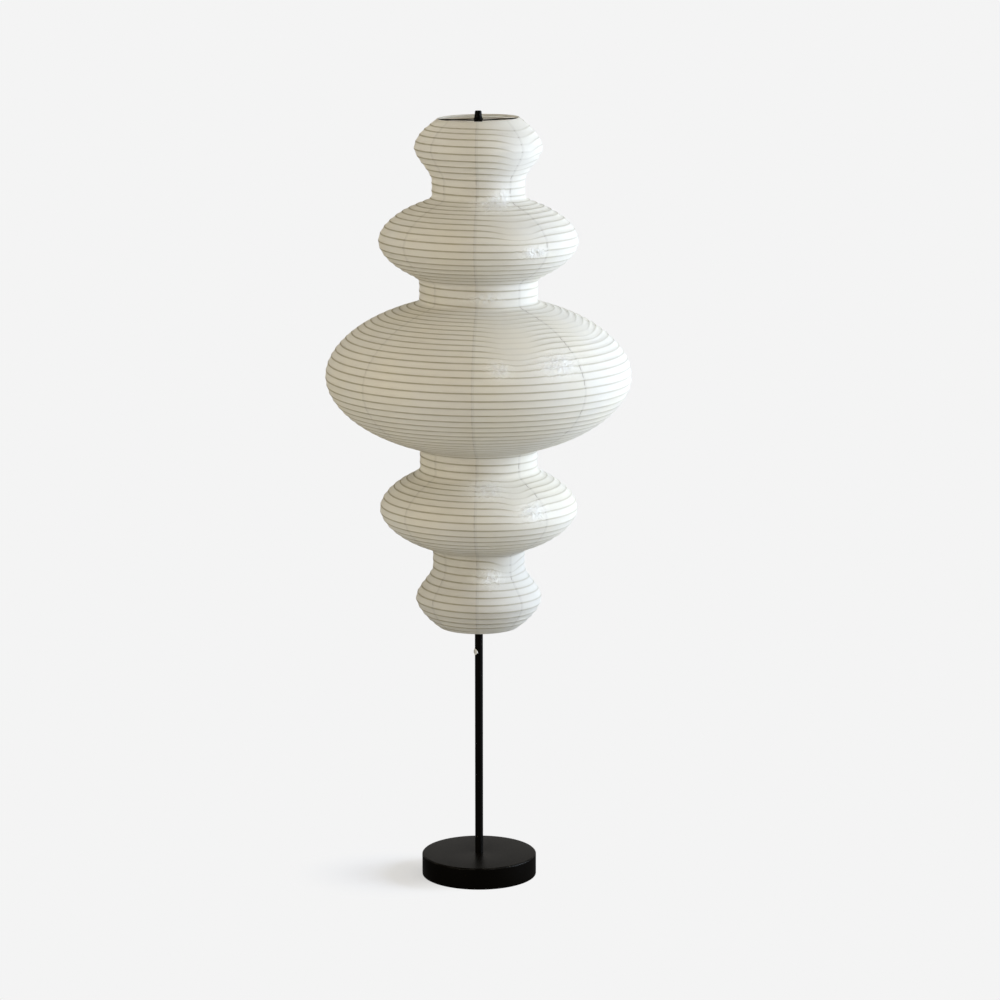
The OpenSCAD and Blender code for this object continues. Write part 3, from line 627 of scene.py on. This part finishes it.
def turned_mesh(name, outline, centre=(0.0, 0.0), count=128, wave=None):
    """A closed outline of (radius, height) turned about an upright axis. wave may move a radius by turn and height."""
    points, faces, rings = [], [], []
    for r, z in outline:
        if r < ON_AXIS:
            rings.append([len(points)] * count)
            points.append((centre[0], centre[1], z))
            continue
        rings.append(list(range(len(points), len(points) + count)))
        for k in range(count):
            a = math.tau * k / count
            rr = r + (wave(a, r, z) if wave else 0.0)
            points.append((centre[0] + rr * math.cos(a), centre[1] + rr * math.sin(a), z))
    for i, ring in enumerate(rings):
        above = rings[(i + 1) % len(rings)]
        for k in range(count):
            corner = [ring[k], ring[(k + 1) % count], above[(k + 1) % count], above[k]]
            face = list(dict.fromkeys(corner))
            if len(face) > 2:
                faces.append(face)
    made = bpy.data.meshes.new(name)
    made.from_pydata(points, [], faces)
    made.validate()
    made.shade_smooth()
    return made


# ---- Finishes ----

FINISH = "_finish"


def material(name):
    """A new finish, its tree, the output node to feed, and the place on the piece."""
    made = bpy.data.materials.new(name + FINISH)
    made.use_nodes = True
    made.node_tree.nodes.clear()
    tree = Tree(made.node_tree)
    end = made.node_tree.nodes.new("ShaderNodeOutputMaterial")
    return made, tree, end, tree.node("ShaderNodeTexCoord")["Object"]


def surface(tree, end, steady=None, **changing):
    """A Principled surface: steady values on its own sockets, changing ones from nodes."""
    tree.feed(end.inputs["Surface"], tree.node("ShaderNodeBsdfPrincipled", None, {**(steady or {}), **changing})[0])


def raised(tree, height, distance, normal=None):
    inputs = {"Height": height, "Distance": distance, "Strength": 1.0}
    if normal is not None:
        inputs["Normal"] = normal
    return tree.node("ShaderNodeBump", None, inputs)[0]


def paper_finish(sizes, looks, turns):
    """Laid paper in eight gores: the wire shows through as a line, partly painted shadow; seams are lapped; some
    places are crumpled. Painted light: the gores' tones, fainter lines on the lit side, pale crumples and a darker
    lowest tier.
    """
    made, tree, end, where = material("lantern_paper")
    x, y, z = tree.split(where)
    radius = (x * x + y * y) ** 0.5
    sheet = tree.node("ShaderNodeUVMap", {"uv_map": "sheet"})[0]
    turn, phase, _ = tree.split(sheet)
    crumple = tree.node("ShaderNodeAttribute", {"attribute_name": "crumple"})["Fac"]
    smooth = tree.node("ShaderNodeAttribute", {"attribute_name": "smooth"})["Fac"]
    folds = (abs(tree.noise(where, 55.0, 1.0, 0.5, 1.4) - 0.5) * 9.0).at_most(1.0)
    creases = (abs(tree.noise(where, 120.0, 1.0, 0.5, 0.8) - 0.5) * 7.0).at_most(1.0)
    # distance from the wire and from the nearest seam, in millimetres
    wander = crumple * (tree.noise(where, 60.0, 2.0, 0.6, 0.4) - 0.5)
    step = (phase + 1.1 * wander).fract()
    wire = step.at_most(1.0 - step) * (sizes.rib_pitch * MM)
    across = (turn * float(GORES)).fract()
    width = radius * (MM * math.tau / GORES)
    seam = across.at_most(1.0 - across) * width
    lap = across * width
    # share towards +x, where the window light falls; the wire's line is painted fainter there: painted light
    right = (x / (radius + 0.001)).at_least(0.0)
    broad = tree.noise(where, 7.0, 3.0)
    fine = tree.noise(where, 620.0, 4.0, 0.65)
    cloud = tree.noise(where, 55.0, 4.0, 0.6)
    worn = tree.noise(tree.vector(turn * 40.0, phase, 0.0), 1.0, 2.0)
    there = (phase + 0.45).rise(0.0, 0.1) * (float(turns) + 0.05 - phase - turn).rise(0.0, 0.1)
    # the wire's line: partly glue stain on the wire, partly painted shadow of the wire seen through the paper
    line = (1.0 - wire.rise(0.55, 1.75)) * there
    glue = (1.0 - wire.rise(0.8, 3.4)) * there
    # in the smoothed places the wire's line is painted away: painted highlight where the light washes over the paper
    strength = (line * (0.66 - 0.42 * right) * (0.45 + 1.1 * worn)
                * (1.0 - 0.65 * crumple) * (1.0 - 0.92 * smooth))
    tick = (1.0 - seam.rise(0.8, 3.2)) * line
    # short dark dashes here and there along a seam, where the glue has taken up dust
    cell = tree.node("ShaderNodeTexWhiteNoise", {"noise_dimensions": "1D"}, {
        "W": phase.floor() + 137.0 * (turn * float(GORES) + 0.5).floor()})["Value"]
    dash = (cell.rise(0.80, 0.82) * (1.0 - seam.rise(0.7, 1.4))
            * step.rise(0.05, 0.12) * (1.0 - step.rise(0.5, 0.75)))
    # each gore has its own tone: partly the paper's own tint, partly painted light, lightest on the front-right gores
    # that face the window light and darkest at the back
    gore_tone_and_painted_light = tree.node("ShaderNodeValToRGB", None, {"Fac": turn}, stops=[
        (0.0, (0.98, 0.98, 0.98)), (0.125, (0.955, 0.945, 0.93)), (0.25, (0.93, 0.915, 0.89)),
        (0.375, (0.955, 0.945, 0.925)), (0.5, (0.965, 0.955, 0.94)), (0.625, (0.965, 0.955, 0.94)),
        (0.75, (0.985, 0.985, 0.985)), (0.875, (1.0, 1.0, 1.0))])
    gore_tone_and_painted_light.made.color_ramp.interpolation = "CONSTANT"
    # the last turns, on the lowest tier, are painted 8 % darker: painted shade
    level = ((0.975 + 0.05 * broad) * (0.965 + 0.07 * fine) * (0.98 + 0.04 * cloud)
             * (1.0 - 0.055 * glue) * (1.0 - 0.05 * (1.0 - lap.rise(4.5, 5.5)))
             * (1.0 - 0.15 * worn * (1.0 - seam.rise(0.35, 0.9)))
             * (1.0 + 0.08 * crumple) * (1.0 - 0.08 * phase.rise(float(turns) * 0.80, float(turns) * 0.88)))
    warm = tree.mix(broad.rise(0.35, 0.7), tuple(looks.paper), (
        looks.paper[0] * 0.995, looks.paper[1] * 0.985, looks.paper[2] * 0.955))
    toned = tree.node("ShaderNodeVectorMath", {"operation": "MULTIPLY"}, {0: warm, 1: gore_tone_and_painted_light[0]})[0]
    plain = tree.tinted(toned, level)
    # crumpled patches are painted paler, palest on their fold ridges, and lifted 8 % in level above: painted highlight
    pale = tree.mix((crumple * (0.55 + 0.45 * (1.0 - folds))).share(), plain, (0.985, 0.985, 0.97))
    lined = tree.mix(strength.share(), pale, tuple(looks.rib_line))
    ticked = tree.mix((tick * 0.24 + dash * (0.14 + 0.40 * right)).share(), lined, (0.24, 0.18, 0.14))
    cells = tree.node("ShaderNodeTexVoronoi", {"feature": "F1"}, {"Vector": where, "Scale": 17.0})
    rare, _, _ = tree.split(cells["Color"])
    speck = (1.0 - cells["Distance"].rise(0.012, 0.030)) * rare.rise(0.90, 0.93)
    colour = tree.mix((speck * 0.8).share(), ticked, (0.12, 0.08, 0.05))
    fibres = tree.noise(tree.vector(x, y, z * 2.2), 260.0, 5.0, 0.7, 0.8)
    fibre = raised(tree, fibres * 0.4 + fine * 0.6, 0.00022)
    normal = raised(tree, crumple * (1.0 - folds + 0.25 * (1.0 - creases)), 0.0011, fibre)
    shader = tree.node("ShaderNodeBsdfPrincipled", None, {
        "Base Color": colour, "Roughness": 0.82 - 0.42 * crumple + 0.08 * (fine - 0.5), "Normal": normal,
        "Specular IOR Level": 0.35})
    through = tree.node("ShaderNodeBsdfTranslucent", None, {"Color": colour, "Normal": normal})
    tree.feed(end.inputs["Surface"], tree.either(looks.see_through, shader[0], through[0]))
    return made


def powder_coat(name, black):
    """Satin powder coat: fine texture, faint clouds, a little lighter in patches along the upper edge."""
    made, tree, end, where = material(name)
    x, y, z = tree.split(where)
    _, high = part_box("base_cover")
    grain = tree.noise(where, 1500.0, 3.0, 0.6)
    cloud = tree.noise(where, 14.0, 3.0)
    dust = tree.noise(where, 90.0, 4.0, 0.7).rise(0.55, 0.8)
    radius = (x * x + y * y) ** 0.5
    edge = (1.0 - abs(radius - (high.x - 0.0011)).rise(0.0004, 0.0018)) * z.rise(high.z - 0.004, high.z - 0.002)
    # patches along the upper edge, made a little lighter and glossier
    lighter_edge_patches = edge * tree.noise(where, 60.0, 3.0).rise(0.35, 0.75)
    base = tree.mix((0.25 * cloud + 0.2 * dust).share(), black, (0.0032, 0.0028, 0.0023))
    colour = tree.mix((lighter_edge_patches * 0.35).share(), base, (0.035, 0.032, 0.028))
    surface(tree, end, {"Specular IOR Level": 0.05}, **{
        "Base Color": colour, "Roughness": 0.27 + 0.08 * cloud + 0.05 * grain - 0.05 * lighter_edge_patches,
        "Normal": raised(tree, grain, 0.00009)})
    return made


def pole_lacquer(name, black):
    """Satin black lacquer on tube and turned parts, with faint lengthwise drawing marks."""
    made, tree, end, where = material(name)
    x, y, z = tree.split(where)
    drawn = tree.noise(tree.vector(x * 900.0, y * 900.0, z * 9.0), 1.0, 3.0)
    cloud = tree.noise(where, 30.0, 3.0)
    colour = tree.mix(cloud, black, (0.0028, 0.0024, 0.0019))
    surface(tree, end, {"Specular IOR Level": 0.06}, **{
        "Base Color": colour, "Roughness": 0.36 + 0.12 * cloud + 0.08 * drawn,
        "Normal": raised(tree, drawn, 0.00004)})
    return made


def cast_weight(name):
    """Rough cast weight with small voids and grit."""
    made, tree, end, where = material(name)
    grit = tree.noise(where, 240.0, 6.0, 0.7)
    cloud = tree.noise(where, 22.0, 4.0)
    voids = tree.node("ShaderNodeTexVoronoi", None, {"Vector": where, "Scale": 150.0})["Distance"].rise(0.10, 0.22)
    colour = tree.mix(cloud, (0.33, 0.32, 0.30), (0.47, 0.46, 0.43))
    # the voids are painted darker: painted shade in the pits
    surface(tree, end, **{
        "Base Color": tree.tinted(colour, (0.8 + 0.4 * grit) * (0.7 + 0.3 * voids)), "Roughness": 0.9 - 0.1 * grit,
        "Normal": raised(tree, grit + voids, 0.0006)})
    return made


def plated(name, bright, dull, rough):
    """Zinc plate or turned steel: faint spangle, rolling marks and a duller patina here and there."""
    made, tree, end, where = material(name)
    x, y, z = tree.split(where)
    marks = tree.noise(tree.vector(x * 40.0, y * 40.0, z * 1400.0), 1.0, 3.0)
    patina = tree.noise(where, 65.0, 5.0, 0.65)
    colour = tree.mix(patina.rise(0.4, 0.7), bright, dull)
    surface(tree, end, {"Metallic": 1.0}, **{
        "Base Color": colour, "Roughness": rough + 0.22 * patina + 0.08 * marks,
        "Normal": raised(tree, marks, 0.00003)})
    return made


def moulded(name, light, shade, rough, grain, distance):
    """A moulded or extruded finish: small tone changes, a fine skin, a few dull spots."""
    made, tree, end, where = material(name)
    cloud = tree.noise(where, 45.0, 4.0)
    skin = tree.noise(where, grain, 3.0, 0.6)
    surface(tree, end, **{
        "Base Color": tree.mix(cloud, light, shade), "Roughness": rough + 0.14 * (cloud - 0.5) + 0.08 * skin,
        "Normal": raised(tree, skin, distance)})
    return made


def wire_finish(name, bright, dull):
    """Drawn wire with die marks along it and spots of dried glue."""
    made, tree, end, where = material(name)
    glue = tree.noise(where, 160.0, 4.0, 0.7).rise(0.55, 0.72)
    tone = tree.noise(where, 25.0, 3.0)
    surface(tree, end, **{
        "Base Color": tree.mix(glue, tree.mix(tone, bright, dull), (0.62, 0.57, 0.46)),
        "Metallic": 0.85 - 0.75 * glue, "Roughness": 0.38 + 0.3 * glue + 0.1 * tone,
        "Normal": raised(tree, glue, 0.0002)})
    return made


def opal_finish(name):
    """Opal glass, white all through, with a soft gloss and faint haze."""
    made, tree, end, where = material(name)
    haze = tree.noise(where, 38.0, 4.0)
    dust = tree.noise(where, 420.0, 3.0, 0.6)
    surface(tree, end, {"Specular IOR Level": 0.5}, **{
        "Base Color": tree.mix(haze, (0.86, 0.855, 0.83), (0.80, 0.79, 0.76)),
        "Roughness": 0.22 + 0.12 * haze + 0.06 * dust, "Normal": raised(tree, dust, 0.00002)})
    return made


def cap_finish(middle):
    """A bulb's cap: rolled metal, a dark glass insulator and a solder tip, by height."""
    made, tree, end, where = material("cap_metal_" + str(round(middle * 1000)))
    _, _, z = tree.split(where)
    level = z - middle
    marks = tree.noise(where, 230.0, 4.0, 0.6)
    glass = (1.0 - level.rise(-0.0767, -0.0763)) * level.rise(-0.0783, -0.0781)
    metal = tree.mix(marks.rise(0.35, 0.75), (0.66, 0.65, 0.63), (0.50, 0.48, 0.45))
    surface(tree, end, **{
        "Base Color": tree.mix(glass, metal, (0.012, 0.012, 0.014)), "Metallic": 1.0 - glass,
        "Roughness": 0.26 + 0.2 * marks - 0.12 * glass, "Normal": raised(tree, marks, 0.00005)})
    return made


def finish_for(scene, slot):
    """The finish of a material slot in the record, made once: each row has its maker and what that needs."""
    black = tuple(scene.lamp_finishes.black)
    maker, *needs = {
        "black_powder_coat": (powder_coat, black),
        "black_pole": (pole_lacquer, black),
        "cast_concrete": (cast_weight,),
        "zinc_plate": (plated, (0.60, 0.61, 0.63), (0.42, 0.43, 0.44), 0.30),
        "fastener_steel": (plated, (0.66, 0.66, 0.68), (0.47, 0.46, 0.45), 0.24),
        "contact_brass": (plated, (0.78, 0.60, 0.27), (0.55, 0.40, 0.18), 0.24),
        "cap_metal": (plated, (0.66, 0.65, 0.63), (0.50, 0.48, 0.45), 0.26),
        "foot_rubber": (moulded, (0.02, 0.02, 0.02), (0.035, 0.034, 0.033), 0.78, 900.0, 0.0001),
        "pale_grommet": (moulded, (0.74, 0.74, 0.73), (0.66, 0.66, 0.64), 0.42, 1400.0, 0.00003),
        "splice_sleeve": (moulded, (0.03, 0.03, 0.035), (0.05, 0.05, 0.05), 0.5, 500.0, 0.00012),
        "lead_jacket": (moulded, (0.70, 0.69, 0.65), (0.60, 0.59, 0.55), 0.45, 1100.0, 0.00004),
        "holder_plastic": (moulded, (0.80, 0.78, 0.73), (0.72, 0.70, 0.65), 0.30, 700.0, 0.00003),
        "opal_glass": (opal_finish,),
        "rib_wire_steel": (wire_finish, (0.44, 0.41, 0.35), (0.30, 0.27, 0.22)),
        "mouth_wire_steel": (wire_finish, (0.06, 0.055, 0.05), (0.03, 0.028, 0.026)),
    }[slot]
    return bpy.data.materials.get(slot + FINISH) or maker(slot, *needs)


# ---- One operator for each piece or group of like pieces ----

class LAMP_OT_carried_parts(bpy.types.Operator):
    """Gives every part that stays as the frame has it the finish of its slot"""

    bl_idname = "lamp.carried_parts"
    bl_label = "Finish the carried parts"

    def execute(self, context):
        for part in frame["record"]["subparts"]:
            if part["material_slot"] == "lantern_paper":
                continue
            node = frame["nodes"][part["node"]]
            finish = finish_for(context.scene, part["material_slot"])
            node.data.materials.clear()
            node.data.materials.append(finish)
        return {"FINISHED"}


class LAMP_OT_paper_gores(bpy.types.Operator):
    """Makes the eight gores of ribbed paper in place of the frame's plain ones"""

    bl_idname = "lamp.paper_gores"
    bl_label = "Paper gores"

    def execute(self, context):
        sizes, looks = context.scene.lantern_sizes, context.scene.lamp_finishes
        line = Outline(sizes)
        finish = paper_finish(sizes, looks, line.turns)
        tree = paper_gore_tree()
        for g in range(GORES):
            piece = grown(f"paper_gore_{g + 1}_skin", line.mesh(), tree, {
                "Gore": g, "Gores": GORES, "Columns": sizes.columns, "Rows per Rib": sizes.rows,
                "Edge Rows": EDGE_ROWS, "Hem Rows": HEM_ROWS, "Ribs": math.floor(line.turns - (g + 1) / GORES),
                "Pitch": sizes.rib_pitch, "Rib Start": sizes.rib_end, "Hem Length": line.hem_length,
                "Paper Length": line.paper_length, "Sag": sizes.sag, "Seam Turn": sizes.seam_turn,
                "Crinkle": sizes.crinkle, "Seed": sizes.seed, **droop_values(sizes), "Material": finish,
            }, LANTERN, sizes.paper)
            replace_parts(piece, f"paper_gore_{g + 1}")
            fold(piece)
        return {"FINISHED"}


class LAMP_OT_rib_wire(bpy.types.Operator):
    """Winds the one unbroken rib wire from mouth to mouth"""

    bl_idname = "lamp.rib_wire"
    bl_label = "Rib wire"

    def execute(self, context):
        sizes = context.scene.lantern_sizes
        line = Outline(sizes)
        piece = grown("rib_winding", line.mesh(), rib_wire_tree(), {
            "Turns": line.turns, "Steps per Turn": WIRE_STEPS, "Pitch": sizes.rib_pitch, "Start": sizes.rib_end,
            "Hem Length": line.hem_length, "Depth": sizes.paper + sizes.under + sizes.rib_radius,
            "Wire Radius": sizes.rib_radius, "Seam Turn": sizes.seam_turn, "Sides": WIRE_SIDES,
            **droop_values(sizes), "Material": finish_for(context.scene, "rib_wire_steel"),
        }, LANTERN)
        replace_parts(piece, "rib_wire")
        fold(piece)
        return {"FINISHED"}


def droop_values(sizes):
    return {"Droop": sizes.droop, "Lean": sizes.lean, "Droop Reach": sizes.droop_reach}


def fold(piece):
    """Gives the piece its own mesh. The share of the lantern's height left at full collapse is worked out but not
    used, so the piece does not fold.
    """
    travel = next(j for j in frame["joints"] if j["name"] == "lantern_collapse")["range_m"][1]
    low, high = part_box("paper_gore_1")
    1 - travel / (high.z - low.z)
    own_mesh(piece)


class LAMP_OT_mouth_parts(bpy.types.Operator):
    """Bends the strap and the upper mouth's wire to the paper, which has sunk in front and on the left"""

    bl_idname = "lamp.mouth_parts"
    bl_label = "Strap and upper mouth wire"

    flat: FloatProperty(
        name="Flat", description="Half length of the strap's level middle", default=0.010, unit="LENGTH")
    thickness: FloatProperty(name="Thickness", description="Thickness of the strap", default=0.002, unit="LENGTH")
    hole: FloatProperty(name="Hole", description="Radius of the strap's hole", default=0.00305, unit="LENGTH")

    def execute(self, context):
        sizes = context.scene.lantern_sizes
        self.wire(context.scene, sizes)
        self.strap(context.scene, sizes)
        return {"FINISHED"}

    def wire(self, scene, sizes):
        line = Outline(sizes)
        level = lantern_middle() + line.ring_height
        around = [math.tau * k / 12 for k in range(12)]
        mesh = turned_mesh("mouth_wire_upper", [
            (line.ring_radius + sizes.mouth_wire * math.cos(a), level + sizes.mouth_wire * math.sin(a))
            for a in around], count=180)
        for point in mesh.vertices:
            point.co.z -= mouth_drop(sizes, math.atan2(point.co.y, point.co.x))
        mesh.materials.append(finish_for(scene, "mouth_wire_steel"))
        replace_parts(placed("mouth_wire_upper", mesh, LANTERN), "top_ring")

    def strap(self, scene, sizes):
        low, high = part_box("top_strap")
        half = self.thickness / 2
        ends = [(side * high.x, high.z - half - share * mouth_drop(sizes, angle)) for side, angle, share in
                ((-1, math.pi, 0.8), (1, 0.0, 1.0))]
        left, right = (-self.flat, low.z + half), (self.flat, low.z + half)
        path = [ends[0], *bend(ends[0], left, right, 0.004), *bend(left, right, ends[1], 0.004), ends[1]]
        section = softened([(-high.y, -half), (high.y, -half), (high.y, half), (-high.y, half)], 0.0006, 3)
        points, faces = [], []
        for i, (x, z) in enumerate(path):
            run = Vector(path[min(i + 1, len(path) - 1)]) - Vector(path[max(i - 1, 0)])
            run.normalize()
            points += [(x - run.y * up, y, z + run.x * up) for y, up in section]
        n = len(section)
        for i in range(len(path) - 1):
            faces += [(i * n + k, (i + 1) * n + k, (i + 1) * n + (k + 1) % n, i * n + (k + 1) % n) for k in range(n)]
        faces += [tuple(range(n)), tuple(reversed(range(len(points) - n, len(points))))]
        bar = bpy.data.meshes.new("mouth_strap")
        bar.from_pydata(points, [], faces)
        drill = turned_mesh("strap_hole", [(0.0, low.z - 0.004), (self.hole, low.z - 0.004),
                                           (self.hole, low.z + 0.006), (0.0, low.z + 0.006)], count=48)
        mesh = cut(bar, drill)
        mesh.materials.clear()
        mesh.materials.append(finish_for(scene, "black_pole"))
        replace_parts(placed("mouth_strap", mesh, LANTERN), "top_strap")


def cut(solid, tool):
    """One closed mesh less another, as a plain mesh with its flat faces kept flat."""
    made = [bpy.data.objects.new(mesh.name + "_maker", mesh) for mesh in (solid, tool)]
    for item in made:
        bpy.context.scene.collection.objects.link(item)
    modifier = made[0].modifiers.new("Hole", "BOOLEAN")
    modifier.operation, modifier.solver, modifier.object = "DIFFERENCE", "EXACT", made[1]
    done = bpy.data.meshes.new_from_object(made[0].evaluated_get(bpy.context.evaluated_depsgraph_get()))
    for item in made:
        bpy.data.objects.remove(item)
    done.shade_smooth()
    done.set_sharp_from_angle(angle=BAR_CREASE)
    return done


class LAMP_OT_base_cover(bpy.types.Operator):
    """Turns the pressed base cover with softened edges"""

    bl_idname = "lamp.base_cover"
    bl_label = "Base cover"

    bevel: FloatProperty(name="Bevel", description="Chamfer of the upper edge", default=0.0022, unit="LENGTH")
    wall: FloatProperty(name="Wall", description="Sheet thickness", default=0.0012, unit="LENGTH")
    hole: FloatProperty(name="Hole", description="Radius of the bolt hole", default=0.0052, unit="LENGTH")

    def execute(self, context):
        low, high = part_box("base_cover")
        r, top, foot = high.x, high.z, low.z
        inner = self.bevel - self.wall * (2 - math.sqrt(2))
        outline = softened([
            (self.hole, top), (r - self.bevel, top), (r, top - self.bevel), (r, foot),
            (r - self.wall, foot), (r - self.wall, top - self.wall - inner),
            (r - self.wall - inner, top - self.wall), (self.hole, top - self.wall)], 0.0009)
        mesh = turned_mesh("base_cover_shell", list(reversed(outline)), count=220)
        mesh.materials.append(finish_for(context.scene, "black_powder_coat"))
        piece = placed("base_cover_shell", mesh, "root")
        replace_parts(piece, "base_cover")
        return {"FINISHED"}


class LAMP_OT_bulb_caps(bpy.types.Operator):
    """Turns the bulbs' screw caps with their rolled threads"""

    bl_idname = "lamp.bulb_caps"
    bl_label = "Bulb caps"

    pitch: FloatProperty(name="Pitch", description="Pitch of the screw thread", default=0.0036, unit="LENGTH")
    depth: FloatProperty(name="Depth", description="Depth of the screw thread", default=0.0009, unit="LENGTH")

    def execute(self, context):
        for name in ("upper", "middle", "lower"):
            low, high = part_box(f"bulb_cap_{name}")
            glass_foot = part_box(f"bulb_glass_{name}")[0].z
            axis = ((low.x + high.x) / 2, (low.y + high.y) / 2)
            r, foot, top = (high.x - low.x) / 2, low.z, high.z
            shoulder = foot + 0.004
            begin, stop = shoulder + 0.0022, top - 0.0030
            steps = 56

            def thread(a, radius, z):
                if not begin - 1e-6 <= z <= stop + 1e-6:
                    return 0.0
                fade = min((z - begin) / THREAD_FADE, (stop - z) / THREAD_FADE, 1.0)
                wave = 0.5 - 0.5 * math.cos(math.tau * ((z - begin) / self.pitch - a / math.tau))
                return -self.depth * max(fade, 0.0) * wave

            outline = [(0.0, foot), (0.0036, foot), (0.0045, foot + 0.0004), (0.0055, foot + 0.0012),
                       (r - 0.0020, shoulder), (r - 0.0006, shoulder + 0.0007), (r, shoulder + 0.0016)]
            outline += [(r, begin + (stop - begin) * i / steps) for i in range(steps + 1)]
            outline += [(r, top - 0.0008), (r - 0.0003, top - 0.0002), (r - 0.0008, top), (0.0, top)]
            mesh = turned_mesh(f"bulb_cap_{name}_screw", outline, axis, 72, thread)
            mesh.materials.append(cap_finish(glass_foot + GLASS_MIDDLE))
            piece = placed(f"bulb_cap_{name}_screw", mesh, f"bulb_{name}")
            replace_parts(piece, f"bulb_cap_{name}")
        return {"FINISHED"}


class LAMP_OT_stage(bpy.types.Operator):
    """Sets the floor, the camera and the light"""

    bl_idname = "lamp.stage"
    bl_label = "Stage"

    def execute(self, context):
        scene, stage = context.scene, context.scene.lamp_stage
        scene.view_settings.view_transform = "Standard"
        self.floor(stage)
        self.room(scene, stage)
        self.lights(stage)
        eye = bpy.data.cameras.new("camera")
        eye.lens, eye.sensor_width, eye.clip_end = stage.camera_lens, 36.0, 400.0
        camera = bpy.data.objects.new("camera", eye)
        camera.location = stage.camera_place
        camera.rotation_euler = (math.pi / 2 - stage.camera_pitch, 0.0, 0.0)
        scene.collection.objects.link(camera)
        scene.camera = camera
        return {"FINISHED"}

    @staticmethod
    def seen(path):
        """1 for rays that show the backdrop itself, 0 for those that light the lamp."""
        return path["Is Camera Ray"].at_least(path["Is Transmission Ray"])

    def floor(self, stage):
        mesh = bpy.data.meshes.new("floor")
        mesh.from_pydata([(x * FLOOR_HALF, y * FLOOR_HALF, 0) for x, y in ((-1, -1), (1, -1), (1, 1), (-1, 1))],
                         [], [(0, 1, 2, 3)])
        floor = bpy.data.objects.new("floor", mesh)
        bpy.context.scene.collection.objects.link(floor)
        made, tree, end, where = material("floor_paint")
        x, y, _ = tree.split(where)
        aside = x + 0.17
        near = 0.5 * (1.0 - ((aside * aside + 1.6 * y * y) ** 0.5).rise(0.05, 0.22))
        plain = tree.node("ShaderNodeBsdfDiffuse", None, {"Color": (0.42, 0.42, 0.41, 1.0)})[0]
        lit = tree.node("ShaderNodeBsdfDiffuse", None, {"Color": (0.82, 0.84, 0.90, 1.0)})[0]
        pale = tree.node("ShaderNodeEmission", None, {"Color": (stage.backdrop,) * 3 + (1.0,), "Strength": 1.0})[0]
        dim = tree.node("ShaderNodeEmission", None, {"Color": (0.07, 0.07, 0.07, 1.0), "Strength": 1.0})[0]
        path = tree.node("ShaderNodeLightPath")
        shown = tree.either(near, pale, lit)
        mirrored = tree.either(path["Is Glossy Ray"], plain, dim)
        whole = tree.either(self.seen(path), mirrored, shown)
        tree.feed(end.inputs["Surface"], whole)
        mesh.materials.append(made)

    def room(self, scene, stage):
        world = bpy.data.worlds.new("room")
        world.use_nodes = True
        world.node_tree.nodes.clear()
        tree = Tree(world.node_tree)
        end = world.node_tree.nodes.new("ShaderNodeOutputWorld")
        light = tree.node("ShaderNodeBackground", None, {
            "Color": (*stage.room_colour, 1.0), "Strength": stage.room_level})[0]
        pale = tree.node("ShaderNodeBackground", None, {"Color": (stage.backdrop,) * 3 + (1.0,), "Strength": 1.0})[0]
        # a mirror finish sees a dark room in front of the lamp and a paler wall behind it
        _, away, _ = tree.split(tree.node("ShaderNodeTexCoord")["Generated"])
        wall = tree.node("ShaderNodeBackground", None, {
            "Color": (1.0, 0.97, 0.92, 1.0), "Strength": 0.02 + 0.45 * away.rise(-0.1, 0.7)})[0]
        path = tree.node("ShaderNodeLightPath")
        unseen = tree.either(path["Is Glossy Ray"], light, wall)
        tree.feed(end.inputs["Surface"], tree.either(self.seen(path), unseen, pale))
        scene.world = world

    def lights(self, stage):
        for name, place, size, power, colour in (
                ("window", (3.75, 0.1, 1.6), 2.2, stage.key_power, (0.73, 0.84, 1.0)),
                ("wall", (-2.5, -3.1, 1.6), 2.6, stage.fill_power, (1.0, 0.94, 0.80))):
            lamp = bpy.data.lights.new(name, "AREA")
            lamp.shape, lamp.size, lamp.energy, lamp.color = "DISK", size, power, colour
            holder = bpy.data.objects.new(name, lamp)
            holder.location = place
            aim = MIDDLE_OF_LAMP - Vector(place)
            holder.rotation_euler = aim.to_track_quat("-Z", "Y").to_euler()
            bpy.context.scene.collection.objects.link(holder)


class LAMP_PT_panel(bpy.types.Panel):
    """Lists the lamp's operators and sizes"""

    bl_idname = "LAMP_PT_panel"
    bl_label = "Paper lantern"
    bl_space_type = "VIEW_3D"
    bl_region_type = "UI"
    bl_category = "Paper lantern"

    def draw(self, context):
        layout, scene = self.layout, context.scene
        for operator in OPERATORS:
            layout.operator(operator.bl_idname)
        for group in (scene.lantern_sizes, scene.lamp_finishes, scene.lamp_stage):
            box = layout.box()
            for name in group.bl_rna.properties.keys():
                if name not in ("rna_type", "name"):
                    box.prop(group, name)


OPERATORS = (
    LAMP_OT_carried_parts, LAMP_OT_paper_gores, LAMP_OT_rib_wire, LAMP_OT_mouth_parts, LAMP_OT_base_cover,
    LAMP_OT_bulb_caps, LAMP_OT_stage)
GROUPS = {"lantern_sizes": LanternSizes, "lamp_finishes": LampFinishes, "lamp_stage": LampStage}


def register():
    for made in (*GROUPS.values(), *OPERATORS, LAMP_PT_panel):
        bpy.utils.register_class(made)
    for name, group in GROUPS.items():
        setattr(bpy.types.Scene, name, PointerProperty(type=group))


def unregister():
    for name in GROUPS:
        delattr(bpy.types.Scene, name)
    for made in reversed((*GROUPS.values(), *OPERATORS, LAMP_PT_panel)):
        bpy.utils.unregister_class(made)


def main():
    register()
    bpy.ops.lamp.carried_parts()
    bpy.ops.lamp.paper_gores()
    bpy.ops.lamp.rib_wire()
    bpy.ops.lamp.mouth_parts()
    bpy.ops.lamp.base_cover()
    bpy.ops.lamp.bulb_caps()
    bpy.ops.lamp.stage()


if __name__ == "__main__":
    main()
